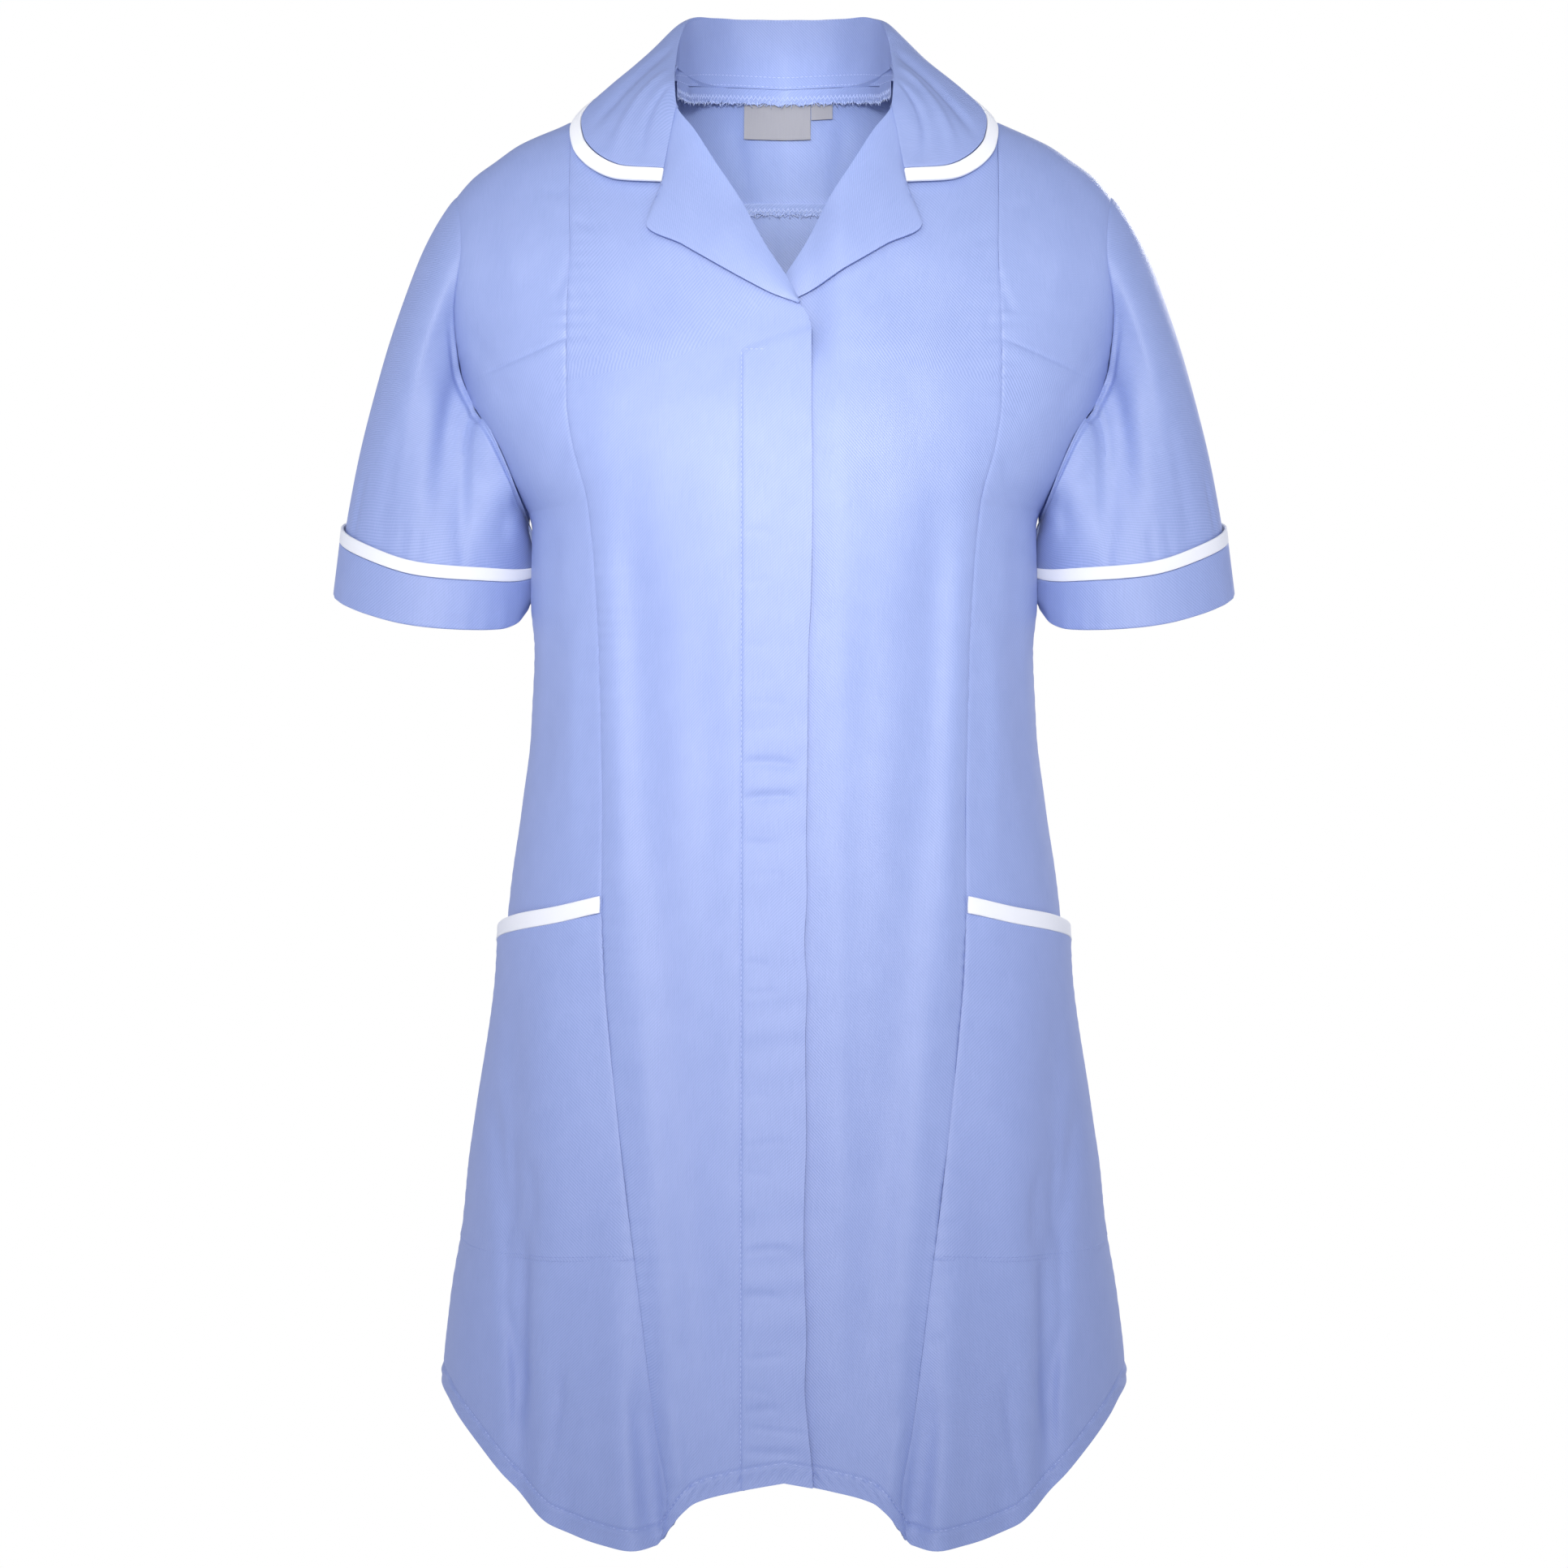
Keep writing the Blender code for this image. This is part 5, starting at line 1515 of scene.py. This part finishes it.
def collar():
    columns = np.linspace(-1, 1, COLLAR_COLUMNS)
    along, share = laid_out(columns, FALL_ROWS)
    fall_share = share * (trim_share(along) - COLLAR_TRIM_GAP)
    wear = ripple(along * COLLAR_HALF_LENGTH, share * COLLAR_DEPTH, COLLAR_RIPPLE)
    lift = collar_relief(along, fall_share) * ease(*FALL_EASED_ROLL, share) + wear
    lift = lift * mix(FALL_EDGE_RELIEF, 1, ease(*FALL_EASED_EDGE, share))
    points = raised(fall_surface(along, fall_share), lift, BELOW_COLLAR)
    stands_for(shell("collar_fall_cloth", points, FACED_CLOTH, middle=BELOW_COLLAR))
    along, share = laid_out(columns, COLLAR_TRIM_ROWS)
    puffed = (TRIM_CLOTH - FACED_CLOTH) / 2 + COLLAR_TRIM_PUFF * np.sin(np.pi * share)
    points = raised(fall_surface(along, mix(trim_share(along), 1.0, share)), puffed, BELOW_COLLAR)
    rim = COLLAR_TRIM_RIM
    stands_for(shell("collar_trim_binding", points, TRIM_CLOTH, TRIM_FINISH, middle=BELOW_COLLAR, rim=rim))
    along, share = laid_out(STAND_REACH * np.linspace(-1, 1, STAND_COLUMNS), STAND_ROWS)
    foot = neck_foot(along)
    top = collar_point("roll", along) - UP * STAND_TOP_ROOM
    top[..., 2] = np.maximum(top[..., 2], foot[..., 2] + STAND_FOOT_ROOM)
    points = mix(foot, top, share[..., None])
    stand = shell("collar_stand_cloth", points, STAND_CLOTH, middle=INSIDE_STAND)
    outer = grid_normals(points, False, INSIDE_STAND)
    stands_for(
        stand,
        *[sewing(name, points[row] - outer[row] * STAND_CLOTH, -outer[row]) for name, row in STAND_STITCHES],
        *allowance("neck_seam", NECK_ALLOWANCE, inside_neck),
    )


# Sleeves and cuffs

SLEEVE_TOP_WAY = np.array((0.72, 0.0, -0.69))
SLEEVE_MID_WAY = np.array((0.70, 0.28, -0.62))
SLEEVE_LOW_WAY = np.array((0.15, 0.0, -0.99))
SLEEVE_FALL = np.array((0.153, 0.0, -0.988))
SLEEVE_START_REACH = 0.18
SLEEVE_END_REACH = 0.34
SLEEVE_INSIDE_CUFF = 0.0024
SLEEVE_TUCK = 0.16
SLEEVE_SEAM = -0.0015
SLEEVE_CLEAR = 0.0010
SLEEVE_SUNK = 0.0009
SLEEVE_SUNK_BY = 0.020
UNDER_FOLD = 0.0022
UNDER_FOLD_DOWN = 0.050
UNDER_FOLD_SPREAD = 0.035
CUFF_WAVES = ((0.215, 0.060, -0.0017), (0.350, 0.060, 0.0010), (0.700, 0.060, -0.0015))
INNER_BULGE = 0.0042
INNER_BULGE_SPREAD = 0.07
INNER_BULGE_FADE = (1.0, 0.6)
SLEEVE_SIDES = (("left", 0.0, False), ("right", 0.006, True))
SLEEVE_COLUMNS = 149
SLEEVE_ROWS = 72
SLEEVE_LENGTH = 0.17
SLEEVE_AROUND = 0.36
SLEEVE_RIPPLE = 0.0003
SLEEVE_FOLD_ENDS = (-0.2, 0.3, 1.3, 0.7)
SLEEVE_EASED_TOP = (0.0, 0.06)
SLEEVE_EASED_END = (1.0, 0.93)
UNDER_FOLD_AROUND = (0.16, 0.25, 0.50, 0.42)
ARMHOLE_LENGTH = 0.46
ARMHOLE_PUCKER = 0.0004
ARMHOLE_PUCKER_REACH = 0.012
ARMHOLE_SAMPLES = 80
ARMHOLE_STEP = 0.01
UNDER_THE_ARM = 0.1
Ring = namedtuple("Ring", "level across height half_width half_depth slope dip")
CUFF_RINGS = rows_of(
    Ring,
    (0.0, 0.2020, -0.2648, 0.0552, 0.0480, 0.199, 0.0125),
    (1.0, 0.2050, -0.3012, 0.0568, 0.0495, 0.143, 0.0130),
)
CUFF_TRIM_LEVEL = 0.21
CUFF_GAP_LEVEL = 0.008
CUFF_INNER_RISE = 0.0080
CUFF_INNER_REACH = 12
CUFF_ROWS = 14
CUFF_TRIM_ROWS = 5
CUFF_WAVE_FADE = 0.6
CUFF_BELOW_SLEEVE = (0, 0, 0.1)
CUFF_RIM = 0.0006
CUFF_TRIM_RIM = 0.0005
CUFF_TRIM_LIFT = 0.0002
CUFF_PUCKER = 0.00018
CUFF_PUCKER_COUNT = 23
CUFF_PUCKER_WANDER = Wave(2, 3, 0)
CUFF_PUCKER_FROM = (0.2, 1.0)

# Sleeve folds, from a place round and down the sleeve to another, in shares of it
SleeveFold = namedtuple("SleeveFold", "around down to_around to_down spread lift")
SLEEVE_FOLDS = rows_of(
    SleeveFold,
    (0.142, 0.60, 0.150, 0.97, 0.016, -0.0011),
    (0.288, 0.45, 0.290, 0.85, 0.014, -0.0010),
    (0.220, 0.30, 0.210, 0.80, 0.022, 0.0009),
    (0.072, 0.80, 0.075, 1.00, 0.007, -0.0010),
    (0.192, 0.84, 0.190, 1.00, 0.006, -0.0008),
    (0.222, 0.82, 0.224, 1.00, 0.006, -0.0009),
    (0.300, 0.84, 0.298, 1.00, 0.007, -0.0008),
    (0.370, 0.05, 0.330, 0.50, 0.018, -0.0016),
    (0.420, 0.05, 0.380, 0.60, 0.014, -0.0014),
    (0.600, 0.05, 0.640, 0.55, 0.018, -0.0015),
    (0.700, 0.30, 0.720, 0.90, 0.020, 0.0010),
    (0.790, 0.25, 0.780, 0.80, 0.018, -0.0010),
    (0.880, 0.70, 0.885, 1.00, 0.008, -0.0009),
)


def armhole_run(face):
    share = np.linspace(0, 1, ARMHOLE_SAMPLES + 1)
    height = mix(ARMHOLE[-1].height, ARMHOLE[0].height, (1 - np.cos(np.pi * share)) / 2)
    return run_along(on_form(side_line(height), height, face)), height


ARMHOLE_RUNS = {face: armhole_run(face) for face in (FRONT, BACK)}


def armhole_point(around):
    """The armhole from its top (0) by the front and the underarm (0.5) to the top again."""
    found = []
    for face, share in ((FRONT, 2 * around), (BACK, 2 - 2 * around)):
        lengths, heights = ARMHOLE_RUNS[face]
        height = read(list(zip(lengths, heights)), share * lengths[-1])
        across = side_line(height)
        point = on_form(across, height, face)
        found.append((point, form_normal(across, form_depth(across, height, face), height, face)))
    ahead = (around <= 0.5)[..., None]
    point = np.where(ahead, found[0][0], found[1][0])
    for flat in (0.0, 0.5, 1.0):
        point[..., 1] = np.where(np.isclose(around, flat), 0.0, point[..., 1])
    return point, np.where(ahead, found[0][1], found[1][1])


def cuff_ring(level, around, lift=0.0):
    """The cuff: around is 0 outside the arm, 0.25 in front and 0.5 next to the body."""
    angle = TURN * around
    across, height, wide, deep, slope, dip = (read(CUFF_RINGS, level, column) for column in Ring._fields[1:])
    bulge = INNER_BULGE * bump(around - 0.5, INNER_BULGE_SPREAD) * ease(*INNER_BULGE_FADE, level)
    side, front = np.cos(angle) * (wide + lift + bulge), np.sin(angle)
    rise = CUFF_INNER_RISE * level * np.maximum(-np.cos(angle), 0) ** CUFF_INNER_REACH
    for at, spread, crest in CUFF_WAVES:
        rise = rise + crest * bump(around - at, spread) * (1 - CUFF_WAVE_FADE * level)
    return places(across + side, -front * (deep + lift), height + side * slope - front * dip + rise)


def sleeve_start(around):
    """Where each place round the sleeve leaves the armhole, just clear of the panels."""
    start, normal = armhole_point(around)
    ahead = armhole_point((around + ARMHOLE_STEP) % 1)[0]
    behind = armhole_point((around - ARMHOLE_STEP) % 1)[0]
    out = unit(np.cross(ahead - behind, normal))
    wrong = np.where(np.abs(around - 0.5) <= UNDER_THE_ARM, out[..., 2], out[..., 0]) < 0
    out = np.where(wrong[..., None], -out, out)
    low = (np.maximum(-np.cos(TURN * around), 0) ** 2)[..., None]
    return start + out * SLEEVE_SEAM + normal * SLEEVE_CLEAR * low


def sleeve_surface(around, down):
    angle = TURN * around
    start = sleeve_start(around)
    end = cuff_ring(np.full_like(around, SLEEVE_TUCK), around, -SLEEVE_INSIDE_CUFF)
    top, middle = np.maximum(np.cos(angle), 0) ** 2, np.sin(angle) ** 2
    low = np.maximum(-np.cos(angle), 0) ** 2
    mid_way = places(SLEEVE_MID_WAY[0], -SLEEVE_MID_WAY[1] * np.sin(angle), SLEEVE_MID_WAY[2])
    way = unit(
        SLEEVE_TOP_WAY * top[..., None] + mid_way * middle[..., None] + SLEEVE_LOW_WAY * low[..., None]
    )
    length = np.linalg.norm(end - start, axis=-1, keepdims=True)
    leave = start + way * length * SLEEVE_START_REACH
    arrive = end - SLEEVE_FALL * length * SLEEVE_END_REACH
    return curve(start, leave, arrive, end, down)


def sleeve_relief(around, down, shift):
    total = ripple(around * SLEEVE_AROUND + shift, down * SLEEVE_LENGTH, SLEEVE_RIPPLE)
    for fold in SLEEVE_FOLDS:
        place = (down - fold.down) / (fold.to_down - fold.down)
        off = around - mix(fold.around, fold.to_around, place) - shift
        total = total + fold.lift * run_out(SLEEVE_FOLD_ENDS, place) * bump(off, fold.spread)
    lengths = around * ARMHOLE_LENGTH, down * SLEEVE_LENGTH
    total = total + pucker(*lengths, lift=ARMHOLE_PUCKER, reach=ARMHOLE_PUCKER_REACH)
    total = total * ease(*SLEEVE_EASED_TOP, down) * ease(*SLEEVE_EASED_END, down)
    under = UNDER_FOLD * bump(down - UNDER_FOLD_DOWN, UNDER_FOLD_SPREAD) * run_out(UNDER_FOLD_AROUND, around)
    not_low = 1 - np.maximum(-np.cos(TURN * around), 0) ** 2
    return total - under - SLEEVE_SUNK * ease(SLEEVE_SUNK_BY, 0.0, down) * not_low


def cuff_pucker(around, level):
    wander = wave(CUFF_PUCKER_WANDER, TURN * around)
    return CUFF_PUCKER * np.sin(TURN * around * CUFF_PUCKER_COUNT + wander) * ease(*CUFF_PUCKER_FROM, level)


def sleeves():
    around, down = laid_out(SLEEVE_COLUMNS, SLEEVE_ROWS)
    plain = sleeve_surface(around[:1], down[:, :1] * np.ones_like(around[:1]))
    middle = plain.mean(axis=(0, 1))
    cuff_middle = middle - CUFF_BELOW_SLEEVE
    place, level = laid_out(SLEEVE_COLUMNS, CUFF_ROWS, start=CUFF_TRIM_LEVEL + CUFF_GAP_LEVEL)
    trim_place, trim_level = laid_out(SLEEVE_COLUMNS, CUFF_TRIM_ROWS, end=CUFF_TRIM_LEVEL)
    for name, shift, turned_over in SLEEVE_SIDES:
        how = {"tube": True, "turned_over": turned_over}
        points = plain + grid_normals(plain, True, middle) * sleeve_relief(around, down, shift)[..., None]
        stands_for(shell(f"sleeve_{name}_cloth", points, CLOTH, middle=middle, **how))
        how["middle"] = cuff_middle
        points = cuff_ring(level, place, cuff_pucker(place, level))
        stands_for(shell(f"cuff_{name}_cloth", points, CUFF_CLOTH, rim=CUFF_RIM, **how))
        how["rim"] = CUFF_TRIM_RIM
        points = cuff_ring(trim_level, trim_place, CUFF_TRIM_LIFT)
        stands_for(shell(f"cuff_{name}_binding", points, CUFF_TRIM_CLOTH, TRIM_FINISH, **how))


# Pockets

PocketColumn = namedtuple("PocketColumn", "share trim_top mouth bottom")
POCKET = rows_of(
    PocketColumn,
    (0.00, -0.4662, -0.4756, -0.6640),
    (0.25, -0.4727, -0.4822, -0.6670),
    (0.55, -0.4780, -0.4875, -0.6680),
    (0.80, -0.4835, -0.4920, -0.6665),
    (1.00, -0.4900, -0.4975, -0.6640),
)
POCKET_GAP = 0.0008
POCKET_STAND_OFF = 0.0024
POCKET_MIDDLE_STAND_OFF = 0.0016
POCKET_SIDE_CURVE = 1.5
POCKET_TRIM_CLOTH = 0.0016
POCKET_STITCH_IN = 0.0022
POCKET_SEWN = (0.02, 0.98, 90)
POCKET_SEWN_LEVEL = 0.99
POCKET_DEPTH = 0.18
POCKET_COLUMNS = 58
POCKET_EDGE_COLUMNS = 8
POCKET_ROWS = 80
POCKET_TRIM_ROWS = 6
POCKET_RIM = 0.00015
POCKET_TRIM_RIM = 0.0005
POCKET_RIPPLE_SHIFT = 0.2
POCKET_PRESSED = 0.12
POCKET_PRESSED_FROM = 0.70
POCKET_EDGE_PRESSED = 0.22
POCKET_EDGE_REACH = 0.16
POCKET_TURNS_IN = 0.955
POCKET_AT_SEAM = 0.15


def side_panel_at(share, height):
    return across_at(mix(turn(princess_line(height) + SEAM / 2, height), np.pi / 2, share), height)


def pocket_gap(share, drop):
    """The room between the panel and the pocket's inside, widest at the mouth by the side seam."""
    at_side = POCKET_STAND_OFF * share**POCKET_SIDE_CURVE
    at_middle = POCKET_MIDDLE_STAND_OFF * np.sin(np.pi * share)
    return POCKET_GAP + (at_side + at_middle) * (1 - drop) ** 2


def sewn_in(share):
    """The pocket's edge turns in to the side seam that it is sewn into."""
    past = np.clip((share - POCKET_TURNS_IN) / (1 - POCKET_TURNS_IN), 0, 1)
    return mix(POCKET_AT_SEAM, 1.0, np.sqrt(1 - past**2))


def pressed(share, drop):
    """The pocket is ironed flat towards its lower edge and the princess seam."""
    low = mix(POCKET_PRESSED, 1.0, ease(1.0, POCKET_PRESSED_FROM, drop))
    return low * mix(POCKET_EDGE_PRESSED, 1.0, ease(0.0, POCKET_EDGE_REACH, share))


def pocket_height(share, drop):
    return mix(read(POCKET, share, "mouth"), read(POCKET, share, "bottom"), drop)


def over_panel(share, height, lift, shift):
    """Places over a side front, whose creases show through the pocket."""
    across = side_panel_at(share, height)
    relief = side_relief(across, height, shift) + ripple(across + POCKET_RIPPLE_SHIFT, height, RIPPLE)
    return on_form(across, height, FRONT, lift * sewn_in(share) + relief)


def bag(share, drop, shift):
    lift = (pocket_gap(share, drop) + CLOTH) * pressed(share, drop)
    return over_panel(share, pocket_height(share, drop), lift, shift)


def pockets():
    edge_columns = np.linspace(POCKET_TURNS_IN, 1, POCKET_EDGE_COLUMNS)
    columns = np.unique(np.concatenate((np.linspace(0, 1, POCKET_COLUMNS), edge_columns)))
    share, drop = laid_out(columns, POCKET_ROWS)
    binding_share, binding_drop = laid_out(columns, POCKET_TRIM_ROWS)
    top, mouth = read(POCKET, binding_share, "trim_top"), read(POCKET, binding_share, "mouth")
    binding_height = mix(top, mouth + SEAM, binding_drop)
    binding_lift = pocket_gap(binding_share, 0) + POCKET_TRIM_CLOTH
    bottom = np.linspace(*POCKET_SEWN)
    height = pocket_height(bottom, POCKET_SEWN_LEVEL)
    normals = normal_at(side_panel_at(bottom, height), height, FRONT)
    for name, shift, turned_over in SIDES:
        points = bag(share, drop, shift)
        thickness = CLOTH * pressed(share, drop)
        made = shell(f"pocket_{name}_cloth", points, thickness, turned_over=turned_over, rim=POCKET_RIM)
        line = bag(bottom, np.full_like(bottom, 1 - POCKET_STITCH_IN / POCKET_DEPTH), shift)
        stands_for(made, sewing(f"pocket_{name}_stitching", line, normals, CLOTH_FINISH, turned_over))
        points = over_panel(binding_share, binding_height, binding_lift, shift)
        how = {"turned_over": turned_over, "rim": POCKET_TRIM_RIM}
        stands_for(shell(f"pocket_{name}_binding", points, POCKET_TRIM_CLOTH, TRIM_FINISH, **how))


# Labels inside the back neck, left bare

Label = namedtuple("Label", "name left right top bottom")
LABELS = rows_of(
    Label,
    ("neck_label", -0.0249, 0.0166, 0.0040, -0.0170),
    ("size_label", 0.0170, 0.0303, 0.0040, -0.0058),
)
LABEL_GAP = 0.0012
LABEL_WAVE = Wave(0.0002, 1.6, 0.4)
LABEL_COLUMNS = 24
LABEL_ROWS = 14
LABEL_RIM = 0.0001


def labels():
    share, drop = laid_out(LABEL_COLUMNS, LABEL_ROWS)
    lift = -CLOTH - LABEL_GAP + wave(LABEL_WAVE, np.pi * share) * drop
    for label in LABELS:
        across, height = mix(label.left, label.right, share), mix(label.top, label.bottom, drop)
        points = on_form(across, height, BACK, lift)
        stands_for(shell(f"{label.name}_cloth", points, LABEL_CLOTH, LABEL_FINISH, rim=LABEL_RIM))


# Floor, light and camera

CAMERA_AWAY = 2.2
CAMERA_HEIGHT = -0.404
PHOTO_WIDTH = 0.912
SENSOR = 36.0
FLOOR_PLACE = (0, -0.5, -1.35)
FLOOR_SIZE = 3.2
FLOOR_COLOUR = (0.86, 0.86, 0.87, 1)
FLOOR_ROUGHNESS = 0.8
SKY_LEVEL = 0.83
SKY_LESS_ABOVE = 0.62
SKY_LESS_BEHIND = 0.14
SKY_COLOUR = (0.96, 0.985, 1.12)
WHITE = (1, 1, 1)
KEY_PLACE = (-0.10, -2.45, 0.16)
Key = namedtuple("Key", "name place aim cone radius energy colour")
KEYS = rows_of(
    Key,
    ("chest_key", KEY_PLACE, -0.16, math.radians(16.6), 0.22, 212.0, (1.0, 0.97, 0.86)),
    ("skirt_key", KEY_PLACE, -0.57, math.radians(20.0), 0.22, 112.0, (1.0, 0.97, 0.93)),
    ("neck_key", KEY_PLACE, -0.015, math.radians(3.4), 0.02, 112.0, (0.84, 0.93, 1.06)),
    ("back_key", (0.90, 2.10, 0.60), -0.35, math.radians(30), 0.22, 120.0, (1.0, 0.97, 0.90)),
)
TOP_PLACE = (-0.45, -1.00, 0.95)
TOP_AIM = (0.0, 0.0, -0.30)
TOP_SIZE = 0.4
TOP_ENERGY = 1.4


def hang_lamp(light, place, aim):
    lamp = added(light.name, light)
    lamp.location = place
    lamp.rotation_euler = (Vector(aim) - lamp.location).to_track_quat("-Z", "Y").to_euler()


def floor():
    bpy.ops.mesh.primitive_plane_add(size=FLOOR_SIZE, location=FLOOR_PLACE)
    made = bpy.context.object
    made.name = "studio_floor"
    pale = bpy.data.materials.new("pale_floor")
    pale.use_nodes = True
    looks = {"Base Color": FLOOR_COLOUR, "Roughness": FLOOR_ROUGHNESS}
    feed(pale.node_tree, pale.node_tree.nodes["Principled BSDF"], looks)
    made.data.materials.append(pale)


def sky():
    """White to the camera; as a light it is weaker from above and from behind."""
    world = bpy.data.worlds.new("studio_white")
    bpy.context.scene.world = world
    world.use_nodes = True
    tree = world.node_tree
    seen = node(tree, "ShaderNodeLightPath").outputs["Is Camera Ray"]
    way = node(tree, "ShaderNodeTexCoord").outputs["Generated"]
    _, behind, above = node(tree, "ShaderNodeSeparateXYZ", {0: way}).outputs
    level = sums(tree, "MULTIPLY_ADD", above, -SKY_LESS_ABOVE, SKY_LEVEL)
    level = sums(tree, "MULTIPLY_ADD", behind, -SKY_LESS_BEHIND, level)
    looks = {
        "Strength": sums(tree, "MAXIMUM", level, seen),
        "Color": colour_between(tree, seen, SKY_COLOUR, WHITE),
    }
    feed(tree, tree.nodes["Background"], looks)


def studio():
    floor()
    sky()
    for kind in KEYS:
        key = bpy.data.lights.new(kind.name, "SPOT")
        key.energy = kind.energy
        key.color = kind.colour
        key.spot_size = kind.cone
        key.spot_blend = 1.0
        key.shadow_soft_size = kind.radius
        hang_lamp(key, kind.place, (0.0, 0.0, kind.aim))
    top = bpy.data.lights.new("top_light", "AREA")
    top.shape = "DISK"
    top.size = TOP_SIZE
    top.energy = TOP_ENERGY
    hang_lamp(top, TOP_PLACE, TOP_AIM)
    view = bpy.data.cameras.new("photo_camera")
    view.lens = SENSOR * CAMERA_AWAY / PHOTO_WIDTH
    view.sensor_width = SENSOR
    camera = added("photo_camera", view)
    camera.location = (0, -CAMERA_AWAY, CAMERA_HEIGHT)
    camera.rotation_euler = (math.pi / 2, 0, 0)
    scene = bpy.context.scene
    scene.camera = camera
    scene.view_settings.view_transform = "Standard"
    scene.view_settings.look = "None"


fronts()
side_fronts()
back_panel()
back_yoke()
revers()
collar()
sleeves()
pockets()
labels()
studio()
